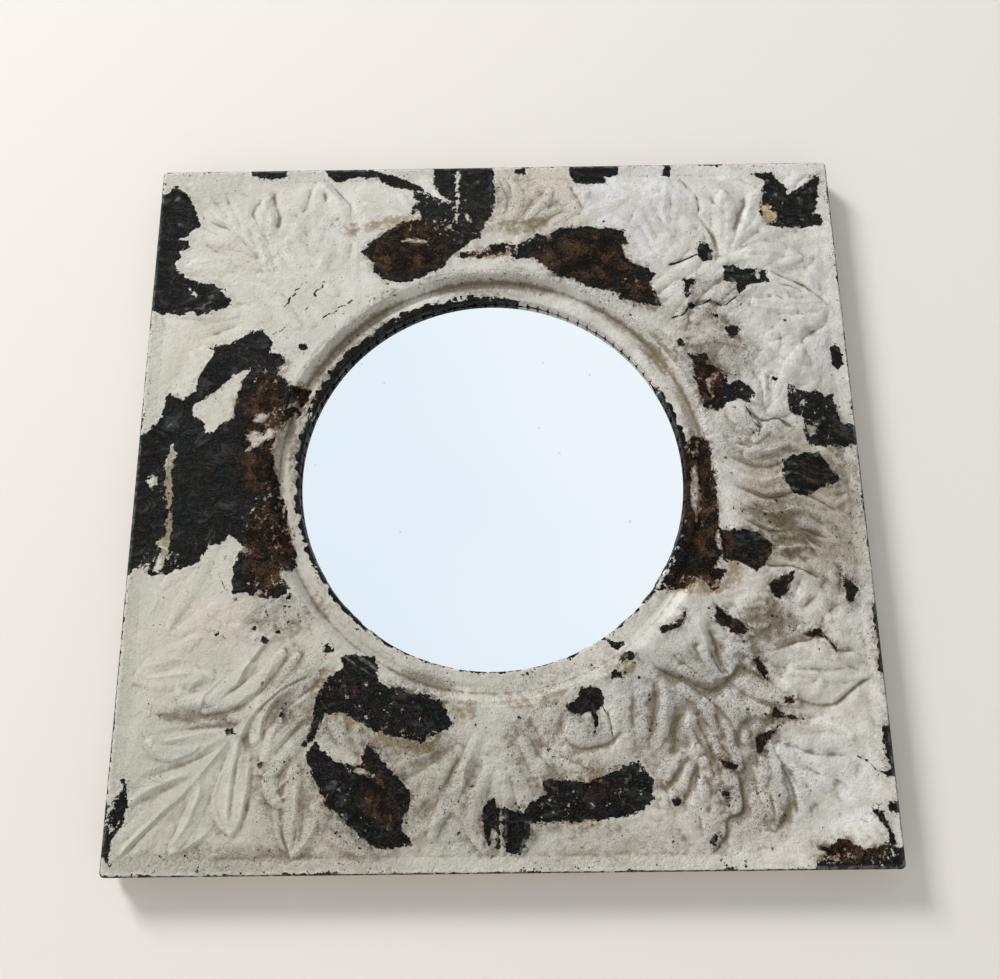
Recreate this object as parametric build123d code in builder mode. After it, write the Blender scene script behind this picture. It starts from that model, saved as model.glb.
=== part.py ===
"""Square wall mirror: one sheet of pressed tin folded over a pine frame, with a round glass.

Millimetres. X runs right, Z up, the tin faces -Y and the wall is on the +Y side. The
origin is the bottom centre of the bounding box. Pieces are drawn on the face plane: its
origin is the panel's centre, and its heights count forwards from the tin's flat border.
"""
import os
from math import hypot

from build123d import *

os.makedirs("parts", exist_ok=True)

# Tin sheet
panel_width = 610.0         # over the folded sides
panel_height = 610.0
tin = 0.5                   # sheet thickness
flange_depth = 16.5         # how far the sides fold back over the rails
corner_radius = 4.0         # of the sheet, round the frame's corners
border_width = 13.0         # flat strip along each edge of the face
bevel_angle = 16.0          # rise of the field from the border, in degrees
field_fall = 0.12           # fall of the field away from the crest, as a slope
emboss = 2.0                # how far the leaves stand out of the field

# Round opening and the moulding round it, as runs outwards and heights
opening_radius = 159.0
opening_shift_x = -4.0      # the opening was cut a little off the panel's centre
opening_shift_y = 3.0
lip_width = 12.0
lip_height = 16.5
groove_run = 5.0            # from the lip out to the bottom of the groove
groove_height = 11.5
crest_run = 5.0             # from the groove out to the crest
crest_width = 4.0
crest_height = 22.0
lip_fillet = 4.0
lip_outer_fillet = 4.0
groove_fillet = 2.0
crest_fillet = 3.5

# Tabs: the opening's edge is snipped and turned back to the glass
tab_count = 108
snip_width = 0.9
snip_length = 4.2
tab_gap = 0.1               # from the tabs' ends to the glass

# Glass and what carries it
glass = 3.0
glass_radius = 178.0
glass_height = 8.0          # front of the glass, above the border
backer = 3.2                # hardboard behind the glass
backer_size = 370.0
glass_block_size = 18.0
glass_block_gap = 0.3
glass_block_count = 4

# Pine frame
rail_width = 38.0
rail_depth = 19.0
rail_ease = 2.0             # rounding of the frame's front edges
batten_width = 38.0
batten_depth = 19.0
batten_spacing = 220.0      # between the battens' centre lines
block_leg = 62.0            # corner blocks, along the rails
block_depth = 12.0

# Dust cover and felt pads
cover = 3.2
cover_lap = 17.5            # how far the cover laps onto the rails
pad_thickness = 6.0
pad_radius = 6.5
pad_inset = 40.0            # from the panel's top and bottom to the pads' centres

# Nails
nail_radius = 0.9
nail_length = 18.0
nail_head_radius = 2.4
nail_head = 0.6
nail_depth = 9.5            # behind the border's front
flange_nail_count = 6
flange_nail_spacing = 92.0
frame_nail_radius = 1.3
frame_nail_grip = 24.0      # how far a frame nail enters the second piece
frame_nail_spread = 14.0    # between the two nails of a joint
pin_radius = 0.7
pin_length = 14.0
pin_head_radius = 1.8
pin_head = 0.8
pin_rise = 168.0            # above and below the panel's centre

# Screws
cover_screw_radius = 1.7
cover_screw_length = 15.0
cover_screw_head_radius = 3.4
cover_screw_head = 2.2
cover_screw_inset = 7.5     # from the cover's edge
cover_screw_span = 464.0    # between the outer screws of a side
hanger_screw_radius = 1.6
hanger_screw_length = 14.0
hanger_screw_head_radius = 2.9
hanger_screw_head = 1.6
hanger_screw_drop = 21.5    # from the ring's bar to the first screw
hanger_screw_pitch = 9.5
slot_width = 0.9
slot_depth = 0.9
head_rounding = 0.7
bore_gap = 0.05             # all round a nail or screw in its hole

# Hangers: a strap screwed to each side rail, with a ring in its rolled end
hanger_rise = 190.0         # ring's bar above the panel's centre
strap = 1.2
strap_width = 10.0
strap_end = 5.5             # strap beyond its last screw
ring_wire = 1.0             # wire radius
ring_reach = 8.0            # straight part of the ring's sides
ring_half = 8.0             # half width, and radius of the rounded end
ring_corner = 2.0
ring_gap = 0.3              # running clearance of the ring's bar in the strap

# Leaves, each a pointed oval from a root to a tip: root x, y, tip x, y, width. One eighth
# of the face is listed, below the centre and left of it; the rest are its mirror images.
leaves = [
    (0, -226, 0, -287, 24),
    (-16, -216, -60, -268, 20),
    (-54, -212, -112, -276, 30),
    (-160, -226, -160, -290, 22),
    (-206, -222, -206, -280, 22),
    (-218, -228, -254, -286, 22),
    (-214, -214, -288, -288, 30),
    (-142, -164, -196, -196, 16),
]

# Worked out from the sizes above
half_w = panel_width / 2
half_h = panel_height / 2
wood_w = half_w - tin
wood_h = half_h - tin
inner_w = wood_w - rail_width
inner_h = wood_h - rail_width
rail_front = -tin
rail_back = rail_front - rail_depth
glass_back = glass_height - glass
backer_back = glass_back - backer
lip_radius = opening_radius + lip_width
groove_radius = lip_radius + groove_run
crest_start = groove_radius + crest_run
crest_radius = crest_start + crest_width
cover_w = inner_w + cover_lap
cover_h = inner_h + cover_lap
cover_back = rail_back - cover
wall = rail_back - pad_thickness
depth = crest_height - wall
band_x = (wood_w + cover_w) / 2     # middle of the rail that the cover leaves bare
knuckle_height = rail_back - strap - ring_gap - ring_wire
knuckle_radius = ring_wire + ring_gap + strap

# The panel's centre stands half its height and a nail head above the origin
face = Plane(
    origin=(0, crest_height - depth / 2, half_h + nail_head),
    x_dir=(1, 0, 0),
    z_dir=(0, -1, 0),
)
ring_centre = (opening_shift_x, opening_shift_y)
corners = {
    "lower_left": (-1, -1),
    "lower_right": (1, -1),
    "upper_right": (1, 1),
    "upper_left": (-1, 1),
}
sides = {"left": -1, "right": 1}


def finish(builder, name):
    """Label a finished piece and write it to its own file."""
    builder.part.label = name
    export_step(builder.part, f"parts/{name}.step")


def spot(x, y, height, towards, across=(1, 0, 0)):
    """A plane at a point of the face, turned towards a direction of the row."""
    return Plane(origin=face.from_local_coords((x, y, height)), x_dir=across, z_dir=towards)


def drive(spots, radius, length, head_radius=0.0, head=0.0):
    """Nails or screws: a shank behind each spot and, where it has one, a head before it."""
    for seat in spots:
        with BuildSketch(seat) as shank:
            Circle(radius)
        extrude(shank.sketch, amount=-length)
        if head_radius:
            with BuildSketch(seat) as disc:
                Circle(head_radius)
            extrude(disc.sketch, amount=head)


def bores(spots, radius, length):
    """What the holes take out for the shanks that drive puts at the same spots."""
    with BuildPart() as taken:
        for seat in spots:
            with BuildSketch(seat) as hole:
                Circle(radius + bore_gap)
            extrude(hole.sketch, amount=-length - bore_gap)
    return taken.part


# ---------------------------------------------------------------- where the fasteners go
def row(count, spacing):
    """Evenly spaced places either side of zero."""
    return [(index - (count - 1) / 2) * spacing for index in range(count)]


flange_places = row(flange_nail_count, flange_nail_spacing)
flange_spots = {
    "left": [spot(-half_w, y, -nail_depth, (-1, 0, 0), (0, 1, 0)) for y in flange_places],
    "right": [spot(half_w, y, -nail_depth, (1, 0, 0), (0, 1, 0)) for y in flange_places],
    "bottom": [spot(x, -half_h, -nail_depth, (0, 0, -1)) for x in flange_places],
    "top": [spot(x, half_h, -nail_depth, (0, 0, 1)) for x in flange_places],
}


def end_nail_spots(centres):
    """Pairs of nails driven through the top and bottom rails, about each centre."""
    spots = []
    for x in centres:
        for shift in row(2, frame_nail_spread):
            spots.append(spot(x + shift, wood_h, -nail_depth, (0, 0, 1)))
            spots.append(spot(x + shift, -wood_h, -nail_depth, (0, 0, -1)))
    return spots


side_rail_x = wood_w - rail_width / 2
batten_x = batten_spacing / 2
corner_nail_spots = end_nail_spots([-side_rail_x, side_rail_x])
batten_nail_spots = end_nail_spots([-batten_x, batten_x])
pin_spots = [
    spot(x * batten_x, y * pin_rise, glass_back, (0, -1, 0)) for x, y in corners.values()
]
cover_screw_spots = []
for place in row(3, cover_screw_span / 2):
    for sign in (-1, 1):
        across = (place, sign * (cover_h - cover_screw_inset))
        upright = (sign * (cover_w - cover_screw_inset), place)
        cover_screw_spots.append(spot(*across, cover_back, (0, 1, 0)))
        cover_screw_spots.append(spot(*upright, cover_back, (0, 1, 0)))
hanger_screw_spots = {
    side: [
        spot(sign * band_x, hanger_rise - hanger_screw_drop - step, rail_back - strap, (0, 1, 0))
        for step in (0, hanger_screw_pitch)
    ]
    for side, sign in sides.items()
}


# ---------------------------------------------------------------- tin panel
moulding_plane = spot(*ring_centre, 0, (0, 0, 1))
moulding_axis = Axis(moulding_plane.origin, (0, 1, 0))


def sloping_field(raised):
    """Solid under the field: bevels up from the border, capped by a low cone, all raised."""
    reach = crest_radius + crest_height / field_fall
    with BuildPart() as slope:
        with BuildSketch(face.offset(raised)) as base:
            Rectangle(panel_width - 2 * border_width, panel_height - 2 * border_width)
        extrude(amount=crest_height, taper=90 - bevel_angle)
        with BuildSketch(moulding_plane):
            with BuildLine():
                Polyline(
                    (0, -raised),
                    (reach, -raised),
                    (crest_radius, -crest_height - raised),
                    (0, -crest_height - raised),
                    close=True,
                )
            make_face()
        revolve(axis=moulding_axis, mode=Mode.INTERSECT)
        if raised > 0:
            extrude(base.sketch, amount=-raised)
    return slope.part


def leaf_outline(root_x, root_y, tip_x, tip_y, width):
    """Pointed oval between a root and a tip, from two arcs."""
    length = hypot(tip_x - root_x, tip_y - root_y)
    side_x = (tip_y - root_y) / length * width / 2
    side_y = -(tip_x - root_x) / length * width / 2
    middle = ((root_x + tip_x) / 2, (root_y + tip_y) / 2)
    one_side = (middle[0] + side_x, middle[1] + side_y)
    other_side = (middle[0] - side_x, middle[1] - side_y)
    with BuildLine() as outline:
        ThreePointArc((root_x, root_y), one_side, (tip_x, tip_y))
        ThreePointArc((tip_x, tip_y), other_side, (root_x, root_y))
    make_face(outline.edges())


def all_leaves():
    """Every leaf of the face: each listed one, turned over both diagonals and both axes."""
    found = []
    for root_x, root_y, tip_x, tip_y, width in leaves:
        images = set()
        for sign_x, sign_y in corners.values():
            left_right = (sign_x * root_x, sign_y * root_y, sign_x * tip_x, sign_y * tip_y)
            images.add(left_right)
            images.add((left_right[1], left_right[0], left_right[3], left_right[2]))
        found += [(*image, width) for image in sorted(images)]
    return found


def leaf_bosses(raised, wall_inset):
    """The leaves' solids up to a raised field, with their sides set in by wall_inset."""
    with BuildPart() as bosses:
        with BuildSketch(face.offset(-tin)):
            for leaf in all_leaves():
                leaf_outline(*leaf)
            if wall_inset:
                offset(amount=-wall_inset)
        extrude(amount=tin + crest_height + raised)
        add(sloping_field(raised), mode=Mode.INTERSECT)
    return bosses.part


with BuildPart() as frame_blank:
    with BuildSketch(face.offset(rail_front)):
        RectangleRounded(2 * wood_w, 2 * wood_h, corner_radius - tin)
    extrude(amount=-rail_depth)
    fillet(frame_blank.faces().sort_by(Axis.Y)[0].edges(), rail_ease)

flange_bores = {
    side: bores(spots, nail_radius, nail_length) for side, spots in flange_spots.items()
}

tab_root = glass_height + tab_gap + snip_length
with BuildPart() as moulding:
    with BuildSketch(moulding_plane):
        with BuildLine():
            FilletPolyline(
                (opening_radius, -tab_root),
                (opening_radius, -lip_height),
                (lip_radius, -lip_height),
                (groove_radius, -groove_height),
                (crest_start, -crest_height),
                (crest_radius, -crest_height),
                radius=[lip_fillet, lip_outer_fillet, groove_fillet, crest_fillet],
            )
            offset(amount=tin, side=Side.LEFT)
        make_face()
    revolve(axis=moulding_axis)
    with BuildSketch(face.offset(tab_root)):
        with Locations(ring_centre):
            Circle(opening_radius + tin)
            Circle(opening_radius, mode=Mode.SUBTRACT)
            with PolarLocations(opening_radius + tin / 2, tab_count):
                Rectangle(3 * tin, snip_width, mode=Mode.SUBTRACT)
    extrude(amount=-snip_length)

with BuildPart() as tin_panel:
    # sheet folded over the frame, with its sloping field and leaves
    with BuildSketch(face):
        RectangleRounded(panel_width, panel_height, corner_radius)
    extrude(amount=-flange_depth)
    fillet(tin_panel.faces().sort_by(Axis.Y)[0].edges(), rail_ease + tin)
    add([sloping_field(0), leaf_bosses(emboss, 0)])
    hollow = [frame_blank.part, sloping_field(-tin), leaf_bosses(emboss - tin, tin)]
    add([*hollow, *flange_bores.values()], mode=Mode.SUBTRACT)
    # opening, then the moulding that makes its edge
    with BuildSketch(face.offset(rail_front)):
        with Locations(ring_centre):
            Circle(crest_radius - tin)
    extrude(amount=crest_height + emboss + tin, mode=Mode.SUBTRACT)
    add(moulding.part)
finish(tin_panel, "tin_panel")

# ---------------------------------------------------------------- glass and its backer
pin_bores = bores(pin_spots, pin_radius, pin_length)

with BuildPart() as mirror_glass:
    with BuildSketch(face.offset(glass_back)):
        with Locations(ring_centre):
            Circle(glass_radius)
    extrude(amount=glass)
finish(mirror_glass, "mirror_glass")

with BuildPart() as mirror_backer:
    with BuildSketch(face.offset(backer_back)):
        with Locations(ring_centre):
            Rectangle(backer_size, backer_size)
    extrude(amount=backer)
    add(pin_bores, mode=Mode.SUBTRACT)
finish(mirror_backer, "mirror_backer")

with BuildPart() as glass_blocks:
    block_radius = glass_radius + glass_block_gap + glass_block_size / 2
    with BuildSketch(face.offset(glass_back)):
        with Locations(ring_centre):
            with PolarLocations(block_radius, glass_block_count, start_angle=45):
                Rectangle(glass_block_size, glass_block_size)
    extrude(amount=glass)
finish(glass_blocks, "glass_blocks")

# ---------------------------------------------------------------- pine frame
rails = {
    "left": (-side_rail_x, 0, rail_width, 2 * inner_h),
    "right": (side_rail_x, 0, rail_width, 2 * inner_h),
    "bottom": (0, rail_width / 2 - wood_h, 2 * wood_w, rail_width),
    "top": (0, wood_h - rail_width / 2, 2 * wood_w, rail_width),
}
frame_nail = rail_width + frame_nail_grip
corner_nail_bores = bores(corner_nail_spots, frame_nail_radius, frame_nail)
batten_nail_bores = bores(batten_nail_spots, frame_nail_radius, frame_nail)
cover_screw_bores = bores(cover_screw_spots, cover_screw_radius, cover_screw_length)
hanger_screw_bores = {
    side: bores(spots, hanger_screw_radius, hanger_screw_length)
    for side, spots in hanger_screw_spots.items()
}
rail_bores = [corner_nail_bores, batten_nail_bores, cover_screw_bores]
rail_bores += [*flange_bores.values(), *hanger_screw_bores.values()]

for side, (x, y, width, height) in rails.items():
    with BuildPart() as rail:
        add(frame_blank.part)
        with BuildSketch(face.offset(rail_front)):
            with Locations((x, y)):
                Rectangle(width, height)
        extrude(amount=-rail_depth, mode=Mode.INTERSECT)
        add(rail_bores, mode=Mode.SUBTRACT)
    finish(rail, f"rail_{side}")

for side, sign in sides.items():
    with BuildPart() as batten:
        with BuildSketch(face.offset(backer_back)):
            with Locations((sign * batten_x, 0)):
                Rectangle(batten_width, 2 * inner_h)
        extrude(amount=-batten_depth)
        add([batten_nail_bores, pin_bores], mode=Mode.SUBTRACT)
    finish(batten, f"batten_{side}")

for corner, (sign_x, sign_y) in corners.items():
    with BuildPart() as corner_block:
        with BuildSketch(face.offset(rail_back)):
            with BuildLine():
                Polyline(
                    (sign_x * inner_w, sign_y * inner_h),
                    (sign_x * (inner_w - block_leg), sign_y * inner_h),
                    (sign_x * inner_w, sign_y * (inner_h - block_leg)),
                    close=True,
                )
            make_face()
        extrude(amount=block_depth)
    finish(corner_block, f"corner_block_{corner}")

# ---------------------------------------------------------------- dust cover and felt pads
with BuildPart() as dust_cover:
    with BuildSketch(face.offset(rail_back)):
        Rectangle(2 * cover_w, 2 * cover_h)
    extrude(amount=-cover)
    add(cover_screw_bores, mode=Mode.SUBTRACT)
finish(dust_cover, "dust_cover")

with BuildPart() as felt_pads:
    with BuildSketch(face.offset(rail_back)):
        for sign_x, sign_y in corners.values():
            with Locations((sign_x * band_x, sign_y * (half_h - pad_inset))):
                Circle(pad_radius)
    extrude(amount=-pad_thickness)
finish(felt_pads, "felt_pads")

# ---------------------------------------------------------------- nails
for side, spots in flange_spots.items():
    with BuildPart() as flange_nails:
        drive(spots, nail_radius, nail_length, nail_head_radius, nail_head)
    finish(flange_nails, f"flange_nails_{side}")

with BuildPart() as corner_nails:
    drive(corner_nail_spots, frame_nail_radius, frame_nail)
finish(corner_nails, "corner_nails")

with BuildPart() as batten_nails:
    drive(batten_nail_spots, frame_nail_radius, frame_nail)
finish(batten_nails, "batten_nails")

with BuildPart() as backer_pins:
    drive(pin_spots, pin_radius, pin_length, pin_head_radius, pin_head)
finish(backer_pins, "backer_pins")


# ---------------------------------------------------------------- screws
def slotted(spots, radius, length, head_radius, head):
    """Round-head screws with a slot, seated at spots that face the wall."""
    drive(spots, radius, length, head_radius, head)
    ends = [edge for edge in edges().filter_by(GeomType.CIRCLE) if edge.radius == head_radius]
    outer = [edge for edge in ends if edge.center().Y > spots[0].origin.Y + head / 2]
    fillet(outer, head_rounding)
    for seat in spots:
        with BuildSketch(seat.offset(head)) as slot:
            Rectangle(3 * head_radius, slot_width)
        extrude(slot.sketch, amount=-slot_depth, mode=Mode.SUBTRACT)


with BuildPart() as cover_screws:
    slotted(
        cover_screw_spots,
        cover_screw_radius,
        cover_screw_length,
        cover_screw_head_radius,
        cover_screw_head,
    )
finish(cover_screws, "cover_screws")

for side, spots in hanger_screw_spots.items():
    with BuildPart() as hanger_screws:
        slotted(
            spots,
            hanger_screw_radius,
            hanger_screw_length,
            hanger_screw_head_radius,
            hanger_screw_head,
        )
    finish(hanger_screws, f"hanger_screws_{side}")

# ---------------------------------------------------------------- hangers
for side, sign in sides.items():
    knuckle = spot(sign * band_x, hanger_rise, knuckle_height, (1, 0, 0), (0, 1, 0))
    strap_drop = hanger_screw_drop + hanger_screw_pitch + strap_end
    with BuildPart() as hanger_strap:
        with BuildSketch(face.offset(rail_back)):
            with Locations((sign * band_x, hanger_rise - strap_drop / 2)):
                Rectangle(strap_width, strap_drop)
        extrude(amount=-strap)
        lower = hanger_strap.edges().filter_by(Axis.Y).group_by(Axis.Z)[0]
        fillet(lower, strap_width / 2 - strap)
        with BuildSketch(knuckle):
            Circle(knuckle_radius)
        extrude(amount=strap_width / 2, both=True)
        with BuildSketch(knuckle):
            Circle(ring_wire + ring_gap)
        extrude(amount=strap_width / 2, both=True, mode=Mode.SUBTRACT)
        add(hanger_screw_bores[side], mode=Mode.SUBTRACT)
    finish(hanger_strap, f"hanger_strap_{side}")

    bar = spot(sign * band_x, hanger_rise, knuckle_height, (0, -1, 0))
    with BuildPart() as hanger_ring:
        with BuildLine(bar) as loop:
            FilletPolyline(
                (-ring_half, -ring_reach),
                (-ring_half, 0),
                (ring_half, 0),
                (ring_half, -ring_reach),
                radius=ring_corner,
            )
            ThreePointArc(
                (ring_half, -ring_reach), (0, -ring_reach - ring_half), (-ring_half, -ring_reach)
            )
        with BuildSketch(Plane(origin=bar.origin, x_dir=(0, 1, 0), z_dir=(1, 0, 0))):
            Circle(ring_wire)
        sweep(path=loop.line)
    finish(hanger_ring, f"hanger_ring_{side}")
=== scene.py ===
"""Looks of a square wall mirror faced with one sheet of old pressed tin.

Places on the face are millimetres from the panel's centre: x to the right, y up, and a
height forwards from the flat border. in_row() turns them into metres of the row.
"""
import math

import bmesh
import bpy
import numpy as np
from mathutils import Matrix, Vector


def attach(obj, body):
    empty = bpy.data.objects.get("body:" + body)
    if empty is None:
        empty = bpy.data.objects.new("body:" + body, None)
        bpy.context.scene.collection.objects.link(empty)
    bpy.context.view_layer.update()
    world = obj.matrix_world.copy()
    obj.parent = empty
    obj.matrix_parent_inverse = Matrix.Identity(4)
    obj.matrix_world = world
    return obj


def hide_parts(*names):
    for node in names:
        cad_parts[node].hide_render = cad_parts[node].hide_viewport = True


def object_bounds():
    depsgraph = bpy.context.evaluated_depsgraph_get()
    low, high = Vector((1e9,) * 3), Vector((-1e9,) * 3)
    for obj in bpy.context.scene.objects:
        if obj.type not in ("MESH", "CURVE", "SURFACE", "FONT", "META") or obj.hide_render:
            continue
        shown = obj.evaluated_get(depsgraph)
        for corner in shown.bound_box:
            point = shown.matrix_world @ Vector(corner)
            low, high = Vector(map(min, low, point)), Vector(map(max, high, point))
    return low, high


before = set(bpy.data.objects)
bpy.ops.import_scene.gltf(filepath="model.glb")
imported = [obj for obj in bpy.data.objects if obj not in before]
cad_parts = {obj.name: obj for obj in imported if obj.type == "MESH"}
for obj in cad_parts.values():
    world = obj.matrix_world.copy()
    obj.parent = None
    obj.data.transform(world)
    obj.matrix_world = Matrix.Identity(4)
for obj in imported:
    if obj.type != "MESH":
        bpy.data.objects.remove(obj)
cad_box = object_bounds()

# ------------------------------------------------------------------ sizes, millimetres
MM = 0.001
PANEL_MIDDLE = 305.6        # the panel's centre above the bottom of its box
BORDER_FRONT = -1.75        # the border's front in the row
HALF = 305.0                # from the panel's centre to its sides
TIN = 0.5
FLANGE_DEPTH = 16.5
HEM_DEPTH = 13.0            # where the hem that is turned in behind the flange ends
FOLD_RADIUS = 2.5
CORNER_RADIUS = 4.0
BORDER_WIDTH = 13.0
BEVEL_SLOPE = math.tan(math.radians(16))
FIELD_FALL = 0.12
SLOPE_BLEND = 12            # how tightly the field's cone meets the bevel
LEAST_HEIGHT = 1e-3
CALM_EDGE = (4, 20)         # where, in from the folded edge, the field's own forms begin
RING_X, RING_Y = -4.0, 3.0
OPENING_RADIUS = 159.0
LIP_WIDTH = 8.0
CREST_RADIUS = 185.0
CREST_HEIGHT = 22.0
CREST_FOOT = 24.0           # how far out from the crest the field takes to its own forms
TAB_ROOT = 14.2
TAB_END = 8.1
TAB_COUNT = 108
SNIP_WIDTH = 0.9

# How finely the sheet and its curves are cut
COLUMNS, FIELD_ROWS, BEND_ROWS, FLANGE_ROWS = 2160, 140, 4, 5
ARC_STEPS = 6
CURVE_STEP = 4.0

# The pressed forms
LEAF_SHARE = 0.45           # how much of the leaf pattern's full height is left
LEAF_DRIFT = 2.2
STROKE_BLEND = 4            # how tightly strokes that overlap blend into each other
FOLD_SHARPNESS = 1.5
FOLD_WAVER = 0.6
FOLD_FADE = 0.22            # the share of a fold's length over which each end fades out
RIPPLE_WAVES, RIPPLE_REACH = 14, 6

# Dents: height, length and seed of their waves; creases have a sharp line at every zero
WIDE_DENT = 0.9
DENTS = [(0.45, 24, 6), (-0.14, 9, 9)]
CREASES = [(-0.6, 34, 7), (0.5, 30, 31), (0.2, 16, 32)]
KNOCKS = [(0.45, 60, 8), (0.5, 24, 14)]     # in the round moulding

# Wear, dirt and painted shade
FAR = 16.0                  # distances to outlines are not measured beyond this
LIP_BACK = 2.0
SIDE_START = -0.6           # the height below which a place is on the folded side
BLOTCH_EDGE = (0.45, 1.45)
PAINT_FILM = 0.6
HOLLOWNESS = {"valley": 70, "hollow": 14, "crease": 3}      # passes of smoothing
# The moulding's hollows keep only this share of their painted shade and dirt
MOULDING_SHADE_AND_DIRT = 0.22        # how much of the dirt of so deep a hollow the moulding has kept

# Small pieces; turned ones are radii and heights from the top outwards
NAIL_DEPTH = 9.5
NAIL_PLACES = [-230, -138, -46, 46, 138, 230]
NAIL_HEAD = [(0, 0.58), (1.1, 0.5), (1.9, 0.36), (2.3, 0.15), (2.4, 0), (0.9, 0), (0.9, -3),
             (0, -3)]
COVER_BACK, STRAP_BACK, RAIL_BACK = -22.7, -20.7, -19.5
COVER_SCREW_LINE = 276.5    # from the panel's centre lines to the cover's rows of screws
COVER_SCREW_PLACES = [-232, 0, 232]
HANGER_X, HANGER_Y = 294.25, 190.0
HANGER_SCREW_DROPS = [21.5, 31.0]
SCREW_DOME = [(0, 1), (0.45, 0.96), (0.75, 0.8), (0.94, 0.45), (1, 0.12), (0.98, 0), (0, 0)]
SLOT_WIDTH, SLOT_DEPTH = 0.9, 0.9
PAD_Y = 265.0
PAD = [(0, 6), (4.5, 5.95), (5.8, 5.6), (6.4, 4.9), (6.5, 3), (6.45, 1), (6.3, 0), (0, 0)]
# One tab's edge, in shares of its width and its drop
TAB_OUTLINE = [(-0.5, 0), (-0.5, -0.55), (-0.36, -0.95), (-0.1, -1), (0.2, -0.98),
               (0.42, -0.9), (0.5, -0.5), (0.5, 0)]

# The round moulding from the tabs' roots out to its crest: radius, height, rounding
MOULDING = [
    (OPENING_RADIUS, TAB_ROOT, 0.0),
    (OPENING_RADIUS, 16.5, 2.0),
    (167.5, 16.9, 8.0),
    (173.0, 12.4, 4.0),
    (182.5, CREST_HEIGHT, 4.5),
    (CREST_RADIUS, CREST_HEIGHT, 0.0),
]

# Where old paint fills the moulding's groove (blotches, as below), its surface there and how
# far it fills the groove
FILLED = [(64, -172, 90, 70, 20, 1.0)]
FILLED_GROOVE = [(OPENING_RADIUS, 16.3), (168, 17.2), (CREST_RADIUS, CREST_HEIGHT)]
FILLED_SHARE = 0.7

# Raised strokes of the pressed leaves, in one eighth of the face: a is the smaller and b
# the larger distance from the panel's centre lines. Each has a height and points of
# a, b and half width.
STROKES = [
    (3.2, [(128, 128, 8), (150, 150, 8), (176, 176, 7), (206, 206, 6)]),            # stem
    (2.4, [(207, 207, 7), (232, 232, 6), (262, 262, 5), (289, 289, 3)]),            # corner leaf
    (2.4, [(214, 213, 5), (228, 240, 7), (236, 262, 7), (250, 285, 4)]),
    (2.2, [(226, 226, 5), (246, 250, 7), (262, 272, 7), (277, 290, 4)]),
    (3.8, [(203, 209, 6), (206, 228, 10), (207, 246, 13), (207, 261, 11), (206, 273, 3)]),
    (3.2, [(142, 158, 5), (160, 170, 7), (176, 180, 8), (187, 192, 8), (190, 207, 4)]),
    (3.2, [(140, 171, 5), (156, 182, 7), (170, 197, 8), (178, 212, 7), (184, 228, 3)]),
    (2.6, [(150, 196, 5), (160, 208, 7), (170, 219, 7), (183, 230, 3)]),
    (3.0, [(157, 227, 5), (157, 247, 8), (158, 270, 8), (159, 292, 2)]),            # side pod
    (2.6, [(166, 214, 4), (175, 232, 7), (172, 249, 6), (162, 254, 3)]),
    (2.4, [(127, 238, 5), (138, 258, 9), (146, 276, 8), (157, 291, 3)]),
    (4.5, [(60, 203, 16), (80, 206, 25), (103, 203, 16)]),                          # boss
    (3.4, [(0, 236, 8), (0, 262, 12), (0, 289, 3)]),                                # middle pod
    (2.2, [(9, 230, 5), (17, 252, 7), (22, 272, 6), (14, 290, 3)]),
    (2.6, [(18, 208, 5), (28, 230, 7), (41, 253, 7), (52, 277, 4)]),
    (2.6, [(32, 216, 5), (51, 233, 7), (69, 252, 7), (84, 272, 4)]),
    (2.6, [(46, 226, 5), (72, 240, 7), (96, 252, 8), (117, 263, 4)]),
    (2.4, [(120, 170, 7), (126, 190, 8), (119, 209, 6)]),
    (2.0, [(100, 223, 5), (112, 237, 7), (122, 253, 5)]),
]
GROOVES = [
    (1.2, [(204, 220, 3), (206, 245, 3.5), (206, 268, 3)]),
    (1.0, [(157, 232, 3), (157, 262, 3.5), (159, 286, 3)]),
    (1.2, [(0, 240, 3), (0, 286, 3.5)]),
]

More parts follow.
